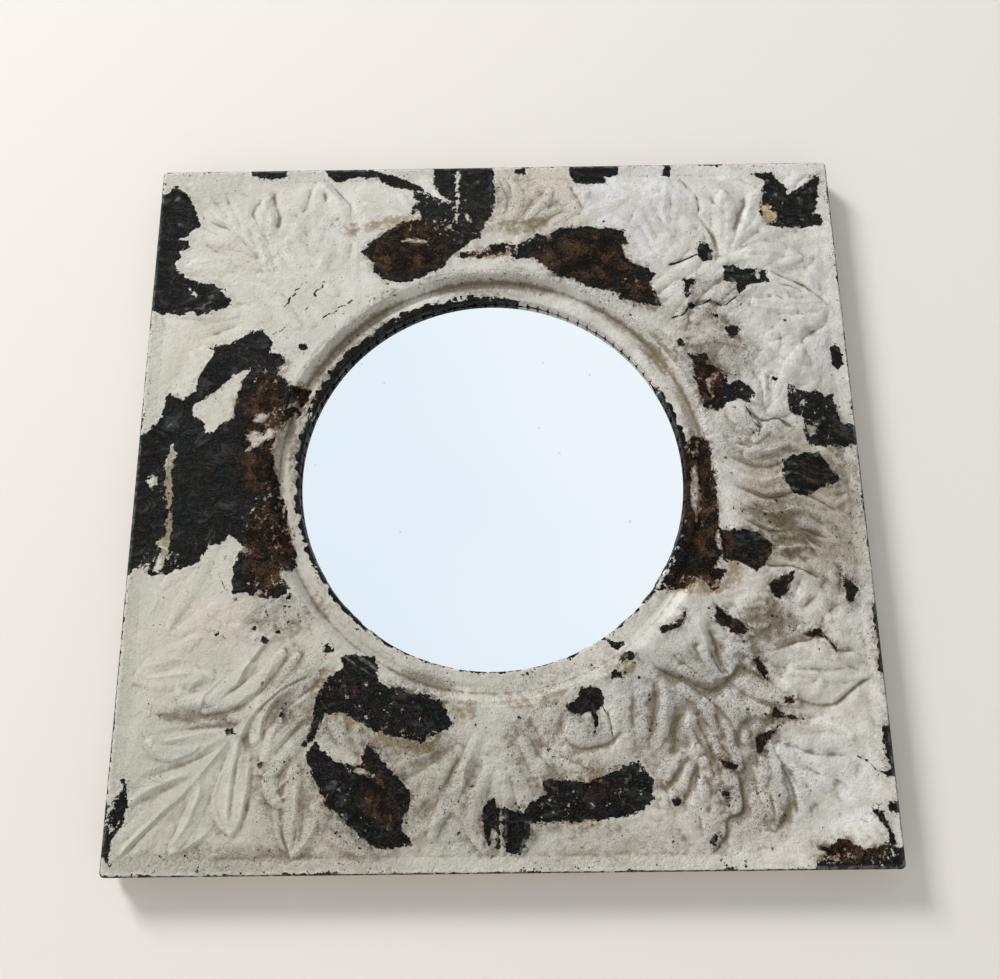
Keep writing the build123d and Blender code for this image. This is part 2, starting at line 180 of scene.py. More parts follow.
# Lines that the press, later knocks and thick paint left in the face: height (sunk where
# below 0), width to the left and to the right of the line's run, and points of x, y
FOLDS = [
    # low left
    (1.9, 13, 3, [(-205, -274), (-208, -259), (-207, -244), (-205, -229), (-202, -212),
                  (-198, -198), (-190, -185), (-175, -172), (-160, -162), (-143, -154),
                  (-124, -146)]),
    (2.1, 13, 3.5, [(-203, -276), (-198, -263), (-195, -248), (-194, -233), (-193, -220)]),
    (1.3, 5, 3, [(-206, -274), (-215, -265), (-219, -252), (-217, -237), (-210, -225)]),
    (1.6, 13, 3.5, [(-255, -286), (-243, -272), (-236, -258), (-231, -244), (-231, -231)]),
    (1.6, 10, 3.5, [(-293, -292), (-286, -284), (-267, -265), (-248, -248),
                    (-234, -234), (-224, -222), (-205, -201)]),
    (1.3, 11, 3.5, [(-285, -251), (-275, -243), (-261, -237), (-246, -232), (-234, -230)]),
    (1.0, 13, 4, [(-286, -239), (-275, -229), (-261, -223), (-244, -220), (-229, -212),
                  (-214, -202)]),
    (1.6, 15, 4, [(-257, -292), (-240, -284), (-229, -277), (-221, -269)]),
    (1.1, 8, 3, [(-274, -201), (-264, -197), (-248, -195), (-229, -192), (-214, -191)]),
    (1.0, 5, 3, [(-267, -207), (-248, -203), (-229, -199), (-212, -198)]),
    (1.9, 14, 4, [(-276, -204), (-273, -212), (-264, -218), (-252, -219), (-239, -214),
                  (-228, -206)]),
    (2.1, 14, 3, [(-223, -179), (-213, -170), (-204, -162), (-199, -152),
                  (-194, -144), (-185, -134), (-174, -124)]),
    (1.4, 11, 3.5, [(-219, -183), (-199, -175), (-185, -164), (-179, -153), (-175, -144)]),
    (1.2, 8, 3, [(-234, -184), (-231, -172), (-223, -163), (-213, -155)]),
    (1.0, 10, 4, [(-262, -173), (-246, -167), (-235, -158), (-223, -151)]),
    (0.8, 10, 4, [(-289, -153), (-276, -156), (-257, -155), (-240, -151)]),
    (0.7, 6, 5, [(-289, -151), (-276, -146), (-257, -143), (-241, -144)]),
    (1.6, 8, 3.5, [(-182, -219), (-185, -204), (-183, -189), (-174, -175), (-161, -167),
                   (-146, -161)]),
    (1.6, 10, 3.5, [(-179, -217), (-175, -202), (-167, -188), (-156, -178), (-145, -172)]),
    (1.2, 10, 4, [(-174, -212), (-164, -201), (-153, -192), (-142, -184)]),
    (1.5, 10, 3, [(-187, -231), (-174, -231), (-167, -226), (-163, -218)]),
    (1.1, 4, 4, [(-160, -291), (-167, -280), (-170, -267), (-170, -255)]),
    (1.6, 10, 3.5, [(-159, -291), (-158, -273), (-156, -254), (-156, -235)]),
    (1.8, 13, 4, [(-158, -292), (-150, -283), (-143, -274), (-140, -267)]),
    (1.2, 4, 3, [(-175, -253), (-168, -249), (-160, -247)]),
    (1.0, 8, 3, [(-174, -246), (-166, -237), (-158, -229)]),
    (0.7, 8, 3, [(-179, -248), (-179, -235), (-175, -223)]),
    (1.5, 11, 3.5, [(-72, -265), (-58, -251), (-45, -239), (-34, -221)]),
    (1.3, 11, 4, [(-72, -281), (-58, -273), (-43, -263), (-29, -254)]),
    (1.5, 10, 3.5, [(-29, -246), (-27, -231), (-21, -216)]),
    (1.1, 11, 4, [(-86, -233), (-71, -223), (-54, -217), (-39, -208)]),
    (1.0, 9, 5, [(-138, -273), (-128, -280), (-113, -288), (-96, -291), (-69, -284)]),
    (0.7, 5, 3, [(-281, -106), (-276, -95), (-279, -83)]),
    (-0.6, 5, 5, [(-266, -81), (-254, -94), (-239, -109)]),
    (-0.9, 8, 8, [(-257, -113), (-237, -113)]),
    (0.9, 8, 5, [(-206, -121), (-199, -111), (-189, -102), (-181, -96)]),
    (1.0, 10, 4, [(-191, -116), (-181, -106), (-172, -96), (-168, -89)]),
    (-0.6, 4, 4, [(-233, -68), (-229, -83), (-223, -92)]),
    (-1.0, 9, 9, [(-294, -187), (-267, -185), (-240, -189), (-223, -185)]),
    # low right
    (2.3, 7, 7, [(212, -212), (225, -227), (240, -244), (259, -261), (277, -280)]),
    (-2.3, 9, 6, [(210, -218), (225, -239), (233, -254), (244, -271), (251, -283)]),
    (-2.7, 8, 8, [(214, -225), (221, -239), (225, -256), (226, -265)]),
    (-2.0, 7, 7, [(225, -226), (244, -235), (267, -244)]),
    (1.7, 6, 6, [(231, -201), (254, -198), (271, -207), (276, -218)]),
    (-1.7, 7, 7, [(221, -210), (240, -220), (273, -222)]),
    (2.0, 5, 5, [(197, -229), (199, -244), (207, -268)]),
    (1.7, 5, 6, [(206, -239), (209, -252), (211, -266)]),
    (-2.3, 7, 7, [(216, -229), (219, -244), (221, -260), (210, -273)]),
    (-2.7, 10, 3, [(181, -232), (185, -248), (183, -262), (172, -267), (170, -280), (161, -294)]),
    (-2.0, 10, 10, [(210, -153), (233, -156), (258, -156), (286, -156)]),
    (-2.2, 9, 4, [(216, -142), (240, -134), (258, -132), (267, -142), (282, -142), (295, -151)]),
    (-2.3, 4, 10, [(231, -178), (248, -184), (264, -182), (277, -172), (295, -160)]),
    (2.0, 5, 5, [(220, -163), (230, -174), (232, -185)]),
    (-2.1, 8, 8, [(240, -111), (254, -98), (266, -82)]),
    (-2.0, 8, 8, [(255, -126), (261, -113), (275, -102)]),
    (-1.6, 8, 8, [(233, -102), (240, -90), (243, -79)]),
    (-4.1, 10, 9, [(163, -121), (170, -136), (173, -151), (182, -164)]),
    (2.2, 8, 8, [(154, -115), (160, -134), (165, -151)]),
    (-4.5, 9, 10, [(113, -144), (126, -157), (149, -166), (166, -173), (182, -161), (195, -151)]),
    (1.7, 8, 6, [(111, -138), (134, -140), (153, -135)]),
    (2.6, 12, 12, [(182, -126), (189, -138), (197, -144)]),
    (-1.6, 3, 3, [(82, -185), (87, -207)]),
    (-2.2, 7, 7, [(49, -183), (47, -201), (58, -214), (73, -214), (87, -208), (97, -197)]),
    (-2.2, 8, 8, [(104, -168), (102, -191), (104, -218)]),
    (-2.3, 8, 8, [(119, -163), (120, -182), (115, -202)]),
    (1.7, 7, 7, [(128, -164), (128, -187), (123, -212)]),
    (-2.3, 8, 8, [(139, -187), (134, -206), (132, -221)]),
    (-2.2, 8, 8, [(151, -187), (158, -210), (166, -227)]),
    (1.5, 7, 7, [(144, -187), (147, -208), (151, -225)]),
    (-1.7, 7, 7, [(166, -189), (174, -210)]),
    (-2.3, 7, 7, [(144, -220), (137, -231), (126, -244), (115, -241)]),
    (-2.2, 8, 8, [(154, -227), (145, -240), (138, -258)]),
    (-2.0, 8, 8, [(157, -233), (160, -248), (157, -265)]),
    (-1.5, 8, 8, [(20, -187), (30, -206), (31, -221)]),
    (-3.2, 10, 10, [(192, -31), (210, -28), (229, -41), (248, -47), (273, -68)]),
    (-2.7, 10, 10, [(246, -49), (254, -60), (258, -69)]),
    (2.3, 8, 6, [(183, -49), (199, -42), (214, -49), (223, -60)]),
    (-2.0, 8, 8, [(221, -41), (231, -58), (237, -75)]),
    (-2.0, 8, 8, [(273, -68), (277, -83), (273, -100)]),
    (-2.0, 9, 9, [(180, -102), (191, -109), (208, -109)]),
    (-2.0, 8, 8, [(197, -191), (185, -201), (183, -214)]),
    # top left
    (1.8, 8, 5, [(-294, 284), (-276, 279), (-260, 266), (-248, 252),
                 (-229, 237), (-206, 212), (-191, 197)]),
    (-1.9, 5, 8, [(-264, 255), (-248, 246), (-229, 232), (-210, 209), (-195, 193), (-181, 181)]),
    (-1.6, 7, 7, [(-246, 280), (-238, 263), (-231, 250), (-227, 232)]),
    (-1.3, 6, 6, [(-251, 292), (-235, 284), (-222, 274)]),
    (-1.7, 6, 6, [(-216, 270), (-218, 256), (-210, 240), (-202, 225), (-199, 206)]),
    (-2.4, 6, 6, [(-200, 282), (-199, 267), (-194, 254), (-193, 237)]),
    (1.3, 6, 6, [(-208, 280), (-207, 263), (-201, 248), (-199, 231)]),
    (-1.6, 7, 7, [(-181, 257), (-172, 243), (-164, 230)]),
    (-1.4, 6, 6, [(-168, 285), (-169, 267), (-174, 250)]),
    (-1.6, 6, 6, [(-155, 280), (-153, 266), (-154, 248)]),
    (-2.2, 5, 9, [(-150, 291), (-140, 275), (-130, 263), (-128, 248), (-122, 228)]),
    (1.3, 6, 6, [(-161, 288), (-147, 276), (-138, 261)]),
    (-1.1, 6, 6, [(-261, 238), (-254, 223), (-229, 211), (-206, 202)]),
    (-0.9, 4, 4, [(-230, 202), (-206, 202)]),
    (-1.7, 7, 7, [(-230, 187), (-210, 178), (-197, 169), (-187, 158)]),
    (-1.6, 8, 8, [(-191, 229), (-183, 221), (-172, 206), (-164, 194)]),
    (-1.2, 7, 7, [(-147, 239), (-137, 250)]),
    (-1.2, 7, 7, [(-142, 199), (-140, 214), (-143, 229)]),
    (-1.8, 7, 7, [(-126, 223), (-128, 206), (-125, 190)]),
    (-1.2, 7, 7, [(-233, 174), (-221, 164), (-210, 162)]),
    (1.0, 7, 5, [(-257, 193), (-242, 188), (-225, 183)]),
    (-1.2, 8, 8, [(-199, 199), (-187, 183), (-183, 164)]),
    (-1.5, 9, 9, [(-259, 130), (-248, 134), (-225, 143), (-206, 145)]),
    (-1.0, 10, 10, [(-294, 92), (-276, 100), (-261, 123)]),
    (1.1, 7, 7, [(-164, 183), (-153, 199), (-149, 216)]),
    (-1.3, 8, 8, [(-176, 231), (-164, 216), (-155, 206)]),
    # top right
    (-1.4, 8, 8, [(132, 260), (136, 244), (142, 229), (144, 213)]),
    (-2.2, 7, 7, [(161, 280), (160, 267), (158, 250), (158, 234)]),
    (-1.6, 7, 7, [(142, 255), (150, 238), (157, 229), (165, 215)]),
    (-1.7, 5, 5, [(165, 295), (172, 284), (182, 269), (184, 254),
                  (182, 248), (189, 235), (195, 221), (196, 209)]),
    (-2.4, 7, 9, [(228, 274), (225, 257), (218, 242), (212, 228)]),
    (1.4, 7, 6, [(235, 282), (231, 263), (225, 242), (218, 225)]),
    (-1.7, 7, 7, [(239, 233), (226, 223), (214, 212)]),
    (-1.4, 9, 9, [(263, 218), (254, 204), (244, 199)]),
    (-1.5, 9, 9, [(288, 214), (281, 200), (267, 193), (248, 191)]),
    (-1.7, 4, 4, [(242, 190), (265, 181), (286, 168), (296, 160)]),
    (-1.0, 3, 3, [(249, 180), (261, 176), (272, 170)]),
    (-2.0, 7, 7, [(296, 148), (284, 138), (269, 129), (264, 121), (269, 111), (271, 94)]),
    (-1.6, 9, 9, [(234, 139), (246, 126), (243, 111), (251, 99)]),
    (-2.2, 7, 7, [(216, 94), (223, 81), (224, 67), (220, 57)]),
    (-1.6, 6, 6, [(231, 90), (229, 74)]),
    (1.3, 7, 7, [(227, 94), (227, 77), (224, 62)]),
    (-1.6, 3, 6, [(151, 192), (164, 199), (178, 205)]),
    (-1.8, 4, 6, [(153, 141), (163, 145), (168, 153), (183, 159), (197, 156), (208, 164)]),
    (-1.6, 5, 5, [(159, 121), (169, 123), (182, 130)]),
    (-1.4, 7, 7, [(161, 126), (165, 138), (169, 153)]),
    (-1.5, 9, 9, [(126, 263), (107, 267), (88, 269)]),
    (-1.5, 8, 8, [(153, 278), (144, 269), (127, 263)]),
    (-1.8, 6, 6, [(68, 284), (75, 268), (79, 251)]),
    (-1.6, 7, 7, [(60, 263), (41, 250), (28, 233)]),
    (-1.5, 7, 7, [(45, 276), (33, 261), (24, 242)]),
    (-1.4, 7, 7, [(71, 250), (56, 248), (41, 235)]),
    (1.2, 6, 6, [(167, 232), (178, 238), (187, 234), (193, 219)]),
    (-1.5, 8, 8, [(123, 242), (134, 225), (138, 206)]),
    (-1.2, 9, 9, [(191, 271), (202, 257), (210, 244)]),
    (-1.6, 7, 7, [(221, 56), (239, 71), (244, 85)]),
    (-1.5, 7, 7, [(223, 49), (240, 52), (254, 60)]),
    (-1.8, 6, 6, [(207, 58), (218, 50), (220, 39)]),
    (-1.6, 8, 8, [(183, 43), (191, 29), (210, 26)]),
    (-1.5, 8, 8, [(191, 143), (204, 134), (210, 115)]),
    # right
    (2.6, 8, 6, [(190, 30), (215, 20), (245, 27), (266, 18)]),
    (2.3, 7, 6, [(190, 4), (216, -5), (242, 2), (272, -10)]),
    (2.8, 8, 6, [(194, -20), (221, -31), (250, -27), (278, -38)]),
    (2.6, 7, 7, [(204, -49), (226, -60), (252, -58), (274, -66)]),
    (-2.2, 5, 4, [(188, 17), (218, 7), (246, 14), (272, 5)]),
    (-2.6, 5, 4, [(192, -8), (221, -19), (248, -14), (280, -26)]),
    (-2.8, 5, 4, [(198, -36), (223, -47), (247, -44), (272, -52)]),
    (-2.2, 4, 4, [(206, 60), (222, 48), (236, 50), (250, 42)]),
    (-2.2, 4, 4, [(196, -62), (214, -74), (240, -76), (262, -86)]),
]

# Where the paint is gone down to the dark sheet: outlines on the face
BARE = {
    "left_upper": [
        (-306, 281), (-298, 282), (-292, 290), (-286, 284), (-275, 272), (-271, 260),
        (-266, 248), (-275, 242), (-277, 238), (-285, 235), (-276, 231), (-273, 223),
        (-284, 222), (-281, 216), (-287, 208), (-284, 202), (-268, 190), (-248, 185),
        (-235, 172), (-230, 168), (-233, 162), (-250, 157), (-259, 155), (-267, 160),
        (-277, 158), (-284, 161), (-294, 161), (-306, 167),
    ],
    "left_main": [
        (-306, 48), (-299, 49), (-294, 56), (-286, 67), (-284, 82), (-281, 85),
        (-276, 80), (-267, 78), (-256, 84), (-255, 96), (-250, 104), (-241, 117),
        (-245, 123), (-229, 125), (-208, 136), (-199, 137), (-196, 130), (-191, 124),
        (-193, 115), (-181, 112), (-178, 105), (-183, 100), (-180, 90), (-172, 83),
        (-164, 83), (-157, 80), (-162, 60), (-176, 52), (-183, 40), (-186, 25),
        (-181, 0), (-174, -20), (-169, -43), (-162, -64), (-164, -77), (-174, -74),
        (-172, -82), (-166, -89), (-174, -96), (-189, -95), (-200, -92), (-211, -93),
        (-213, -71), (-208, -60), (-200, -59), (-204, -54), (-214, -46), (-218, -43),
        (-221, -50), (-234, -51), (-242, -65), (-261, -70), (-269, -75), (-276, -72),
        (-282, -75), (-294, -67), (-299, -68), (-306, -76),
    ],
    "top_strip": [
        (-157, 306), (-147, 291), (-141, 290), (-134, 294), (-122, 295), (-108, 295),
        (-94, 284), (-77, 280), (-64, 277), (-67, 282), (-77, 290), (-86, 295),
        (-98, 298), (-122, 306),
    ],
    "top_strip_left": [(-225, 306), (-222, 299), (-205, 295), (-193, 296), (-189, 306)],
    "top_main": [
        (-56, 306), (-54, 281), (-45, 269), (-36, 263), (-50, 266), (-61, 275),
        (-73, 277), (-71, 265), (-75, 252), (-68, 246), (-60, 240), (-45, 236),
        (-28, 224), (-26, 214), (-14, 222), (-9, 235), (-3, 245), (0, 261), (1, 277),
        (-1, 306),
    ],
    "top_left_boss": [
        (-117, 210), (-106, 222), (-86, 239), (-61, 245), (-45, 237), (-28, 224),
        (-24, 214), (-37, 204), (-45, 192), (-61, 184), (-77, 178), (-94, 180),
        (-106, 188), (-106, 198),
    ],
    "top_link": [(-30, 208), (-12, 206), (0, 216), (8, 217), (20, 213), (20, 200), (5, 203),
                 (-12, 201), (-30, 200)],
    "top_right_boss": [
        (18, 212), (29, 218), (38, 225), (47, 221), (58, 231), (75, 233), (96, 232),
        (115, 229), (117, 216), (111, 214), (115, 200), (123, 193), (134, 190),
        (140, 183), (133, 174), (138, 166), (142, 153), (126, 155), (107, 159),
        (105, 166), (94, 168), (81, 170), (66, 179), (54, 181), (45, 191), (35, 200),
        (18, 200),
    ],
    "top_edge": [(69, 306), (71, 292), (75, 285), (102, 285), (102, 292), (113, 294),
                 (115, 306)],
    "top_nick": [(154, 292), (161, 292), (163, 306), (157, 306)],
    "top_nick_left": [(19, 296), (29, 297), (28, 303), (20, 302)],
    "corner_top_right": [
        (234, 294), (240, 289), (246, 286), (245, 276), (241, 263), (240, 250),
        (246, 239), (259, 236), (282, 238), (295, 240), (295, 250), (286, 252),
        (292, 258), (295, 278), (298, 284), (295, 292), (290, 292), (284, 284),
        (276, 276), (269, 275), (261, 282), (258, 290), (255, 295), (244, 294),
    ],
    "chip_1": [(181, 218), (179, 210), (180, 202), (185, 199), (191, 200), (193, 209),
               (189, 216)],
    "chip_2": [(163, 179), (169, 180), (175, 179), (172, 173), (168, 170), (169, 164),
               (165, 161), (163, 168), (165, 172)],
    "chip_3": [(200, 193), (208, 197), (218, 192), (231, 193), (238, 191), (241, 180),
               (233, 178), (221, 175), (212, 165), (210, 170), (211, 176), (200, 181)],
    "chip_4": [(197, 132), (202, 137), (208, 136), (209, 130), (204, 123), (199, 125)],
    "chip_5": [(290, 119), (295, 123), (299, 119), (301, 105), (295, 99), (291, 104)],
    "ring_right": [
        (158, 109), (166, 107), (178, 107), (183, 98), (194, 90), (195, 81), (202, 84),
        (213, 79), (216, 71), (212, 65), (218, 62), (200, 65), (191, 62), (185, 56),
        (172, 58), (170, 69), (166, 94), (167, 102),
    ],
    "right_edge": [
        (247, 82), (256, 77), (265, 75), (273, 77), (280, 74), (288, 76), (289, 66),
        (292, 52), (306, 48), (306, 32), (290, 29), (261, 29), (257, 39), (259, 52),
        (251, 54), (245, 58), (246, 71),
    ],
    "right_boss": [
        (234, 2), (236, 14), (244, 17), (259, 21), (269, 22), (275, 15), (281, 6),
        (287, 0), (277, -4), (265, -10), (255, -16), (242, -14), (236, -6),
    ],
    "ring_cove": [
        (157, 30), (165, 36), (172, 33), (177, 28), (178, -27), (177, -43), (174, -54),
        (178, -66), (172, -77), (181, -79), (174, -92), (170, -95), (161, -86),
        (151, -92), (126, -94), (134, -83), (147, -58), (153, -39), (156, -20),
    ],
    "right_low_boss": [
        (178, -47), (187, -46), (191, -45), (202, -46), (210, -49), (221, -59),
        (217, -66), (212, -75), (206, -78), (191, -71), (186, -72), (180, -70),
    ],
    "chip_6": [(215, -90), (221, -86), (229, -82), (238, -78), (235, -86), (230, -96),
               (224, -100), (219, -98), (217, -94)],
    "chip_7": [(279, -82), (285, -85), (291, -93), (285, -102), (282, -104), (280, -96)],
    "chip_8": [(169, -115), (172, -107), (178, -113), (193, -121), (196, -126),
               (188, -131), (178, -123), (172, -120)],
    "chip_9": [(126, -124), (136, -122), (143, -117), (146, -111), (146, -117),
               (142, -123), (134, -126), (129, -129)],
    "chip_10": [(86, -134), (98, -134), (92, -139), (88, -138)],
    "chip_11": [(94, -145), (102, -141), (106, -143), (105, -147), (98, -149), (95, -151)],
    "chip_12": [(85, -161), (90, -157), (96, -160), (97, -164)],
    "chip_13": [(241, -129), (248, -126), (255, -123), (257, -130), (263, -136),
                (267, -142), (262, -135), (255, -132), (247, -131)],
    "chip_14": [(198, -149), (202, -147), (207, -155), (210, -166), (205, -164), (200, -153)],
    "chip_15": [(221, -178), (228, -177), (229, -181), (225, -184), (222, -181)],
    "chip_16": [(206, -191), (210, -190), (213, -184), (218, -190), (235, -194), (225, -194),
                (216, -194)],
    "chip_17": [(205, -204), (216, -199), (210, -206), (205, -210), (202, -219), (198, -221),
                (196, -212), (197, -206)],
    "chip_18": [(169, -225), (176, -225), (183, -229), (178, -232), (170, -231)],
    "right_strip": [(301, -104), (306, -104), (306, -160), (301, -157), (302, -130)],
    "right_strip_low": [(298, -210), (299, -200), (306, -197), (306, -237), (299, -238),
                        (294, -235), (301, -231), (298, -221)],
    "right_strip_end": [(285, -262), (292, -262), (295, -273), (299, -284), (302, -288),
                        (295, -288), (294, -276), (286, -267)],
    "corner_nick": [(296, -257), (306, -256), (306, -265), (298, -264)],
    "corner_low_right": [
        (237, -287), (248, -289), (256, -283), (263, -284), (273, -290), (282, -290),
        (290, -287), (306, -289), (306, -306), (236, -306), (238, -295), (244, -292),
    ],
    "low_right_chip": [(51, -183), (61, -176), (62, -170), (69, -168), (79, -171),
                       (79, -181), (75, -187), (75, -199), (72, -202), (70, -188),
                       (61, -190), (55, -188)],
    "low_right": [
        (18, -257), (29, -251), (33, -248), (32, -238), (38, -236), (48, -237),
        (66, -240), (70, -235), (77, -235), (92, -229), (102, -225), (109, -228),
        (113, -235), (118, -238), (115, -248), (117, -252), (105, -261), (96, -264),
        (71, -267), (52, -268), (18, -268),
    ],
    "low_pod_left": [(-15, -264), (-10, -252), (-5, -250), (-1, -260), (-1, -277),
                     (-2, -287), (-8, -285), (-13, -277)],
    "low_pod_right": [(1, -258), (20, -260), (22, -277), (14, -291), (4, -289), (1, -277)],
    "low_left_upper": [
        (-122, -145), (-117, -142), (-98, -143), (-94, -151), (-93, -162), (-86, -167),
        (-77, -168), (-64, -172), (-54, -174), (-43, -180), (-41, -189), (-35, -193),
        (-39, -200), (-50, -203), (-60, -210), (-66, -207), (-88, -202), (-104, -195),
        (-115, -189), (-124, -186), (-134, -187), (-138, -195), (-144, -207),
        (-150, -210), (-143, -191), (-140, -172), (-136, -161), (-121, -153),
    ],
    "low_left_main": [
        (-142, -207), (-138, -212), (-126, -221), (-115, -224), (-104, -225),
        (-105, -217), (-102, -209), (-96, -212), (-90, -221), (-81, -231), (-75, -237),
        (-68, -248), (-69, -257), (-75, -265), (-74, -273), (-67, -283), (-77, -285),
        (-96, -285), (-107, -278), (-115, -269), (-124, -260), (-134, -254),
        (-135, -246), (-143, -233), (-149, -221), (-147, -212),
    ],
    "corner_low_left": [
        (-306, -240), (-297, -236), (-292, -233), (-290, -238), (-287, -246),
        (-288, -257), (-291, -269), (-297, -276), (-299, -294), (-293, -296),
        (-297, -297), (-303, -290), (-306, -282),
    ],
    "chip_19": [(-214, -198), (-207, -196), (-204, -200), (-210, -200)],
    "ring_nick": [(-165, -92), (-163, -96), (-168, -100)],
}

# Paint that stays inside a bare patch
LEFT_ON = {
    "left_island": [
        (-207, 101), (-223, 95), (-233, 85), (-248, 75), (-259, 70), (-257, 62),
        (-246, 54), (-245, 45), (-236, 44), (-232, 50), (-221, 56), (-218, 77),
        (-214, 88),
    ],
    "rust_flake": [(-209, 40), (-201, 45), (-194, 41), (-189, 48), (-181, 43), (-184, 36),
                   (-191, 34), (-197, 30), (-208, 26), (-203, 33)],
    "rust_flake_small": [(-205, 52), (-198, 60), (-190, 58), (-193, 52), (-199, 49)],
    "boss_fleck": [(-82, 219), (-75, 223), (-66, 221), (-55, 220), (-60, 216), (-78, 217)],
    "boss_tongue": [(-86, 242), (-75, 247), (-68, 253), (-65, 247), (-75, 241)],
    "link_fleck": [(-29, 252), (-23, 247), (-21, 239), (-25, 240), (-27, 246)],
    "seam_line": [(-34.5, 300), (-32, 300), (-32, 262), (-33, 236), (-34.5, 236)],
    "left_streak": [(-279, 24), (-274, 34), (-268, 30), (-272, 24), (-272, 8), (-269, -20),
                    (-268, -48), (-276, -72), (-282, -70), (-275, -52), (-284, -46), (-273, -42),
                    (-273, -20), (-277, 6)],
    "left_fleck": [(-295, 9), (-288, 12), (-285, 4), (-292, 2)],
    "upper_fleck": [(-271, 184), (-266, 179), (-260, 177), (-262, 171), (-268, 176)],
    "corner_fleck": [(-306, -236), (-297, -234), (-291, -238), (-299, -250), (-303, -262),
                     (-303, -246)],
    "low_left_flake": [(-115, -229), (-105, -227), (-96, -231), (-92, -235), (-104, -232)],
    "corner_tan": [(241, 262), (248, 257), (255, 248), (253, 242), (246, 240), (241, 246)],
    "corner_fold": [(262, 272), (276, 281), (290, 292), (292, 288), (280, 278), (266, 269)],
    "right_fleck": [(254, 66), (261, 70), (260, 65), (255, 62)],
    "right_yellow": [(261, 46), (269, 44), (267, 38), (262, 36)],
    "cove_sliver": [(176, 30), (180, 33), (183, 18), (181, 0), (176, 4)],
    "cove_streak": [(159, 12), (164, 6), (166, -14), (162, -36), (158, -22)],
    "ring_fleck": [(176, 84), (180, 86), (181, 78), (178, 73)],
    "chip_fleck": [(229, 192), (233, 192), (232, 182), (229, 183)],
    "pod_fleck": [(-9, -286), (-5, -286), (-3, -275), (-7, -272)],
}

# Small round chips: x, y, radius
SPOTS = [
    (169, 153, 3.5), (157, 117, 3), (235, 87, 2.5), (172, -249, 3), (133, -254, 3),
    (161, -282, 3.5), (-184, -224, 2.5), (-168, -187, 2.5), (-151, -208, 2),
    (-184, -130, 2.5), (-193, -120, 2), (-223, -124, 2), (-133, -137, 3.5),
    (-174, -123, 1.5), (-164, 118, 3), (190, 145, 1.8), (250, 142, 1.6),
]

# Open cracks in the paint
CRACKS = [
    [(153, 142), (161, 144), (167, 153), (178, 155), (187, 160), (198, 154), (210, 164)],
    [(276, -222), (284, -226), (290, -233), (300, -236)],
    [(255, -127), (262, -135), (266, -142)],
    [(-168, 181), (-170, 176), (-174, 174), (-174, 170), (-179, 166), (-179, 162), (-183, 158)],
    [(-146, 184), (-150, 180), (-150, 176), (-155, 173), (-157, 170), (-155, 167)],
    [(-176, 142), (-180, 140), (-183, 135), (-188, 134), (-192, 130)],
    [(-148, 145), (-143, 149), (-138, 150), (-134, 156), (-128, 157), (-123, 162)],
    [(150, 193), (165, 199), (178, 205)],
    [(207, 60), (211, 55), (213, 47), (219, 42), (217, 35)],
]
FINE_CRACKS = [
    [(-155, 165), (-162, 156), (-168, 150)],
    [(-172, 153), (-176, 147), (-178, 141)],
    [(163, 294), (172, 280), (183, 266), (184, 250), (190, 232), (195, 214)],
    [(242, 191), (265, 182), (286, 168), (297, 158)],
    [(72, -168), (82, -190), (86, -206)],
    [(233, -126), (224, -136), (212, -142)],
    [(-230, -65), (-222, -80), (-216, -92)],
    [(-179, -98), (-184, -108), (-173, -122)],
]

# Soft blotches on the face: x, y, half length, half width, turn in degrees, strength
FLATTENED = [
    (-245, -10, 50, 75, 0, 0.7), (-180, 190, 60, 70, 0, 0.3), (140, 250, 50, 40, 0, 0.35),
    (245, -240, 50, 50, 0, 0.35),
]
OLIVE = [
    (22, 234, 26, 10, 0, 1.0), (138, 114, 24, 14, -48, 1.0), (232, -44, 34, 16, -55, 0.9),
    (210, -118, 18, 22, 0, 1.0), (204, -146, 12, 16, 0, 0.7), (182, -156, 20, 12, 20, 0.6),
    (-272, -16, 7, 56, 0, 1.0), (-60, -208, 26, 10, -10, 0.5), (-96, 160, 20, 10, 40, 0.6),
    (-150, 92, 12, 14, 0, 0.8), (-146, -110, 12, 40, -38, 0.6),
    (265, 40, 8, 8, 0, 1.0), (20, 190, 50, 10, 0, 0.5), (-168, 40, 8, 30, 0, 0.6),
    (206, -210, 20, 10, 60, 0.4), (212, -268, 16, 12, 30, 0.8), (20, -205, 20, 20, 0, 0.4),
]
RUSTY = [
    (-192, 40, 22, 60, 0, 0.85), (-185, -55, 20, 42, 0, 0.9), (-205, 60, 22, 30, 0, 0.45),
    (-75, 212, 40, 28, 10, 0.85), (80, 202, 48, 26, -5, 0.9), (118, 170, 26, 16, -20, 0.6),
    (-2, 208, 20, 8, 0, 0.5), (-20, 240, 18, 24, 0, 0.35), (166, -20, 14, 66, 0, 1.0),
    (158, -84, 20, 14, 0, 1.0), (180, 82, 12, 26, 0, 0.9), (262, 3, 20, 14, 0, 0.5),
    (220, -160, 110, 110, 0, 0.5),
    (-93, -250, 14, 26, 30, 0.7), (-95, -178, 40, 14, -20, 0.3), (72, -244, 14, 10, 8, 0.6),
    (220, -62, 8, 12, 0, 0.8), (183, -58, 8, 14, 0, 0.8), (262, -290, 34, 12, 0, 0.8),
    (-165, 88, 12, 26, 20, 0.8),
]
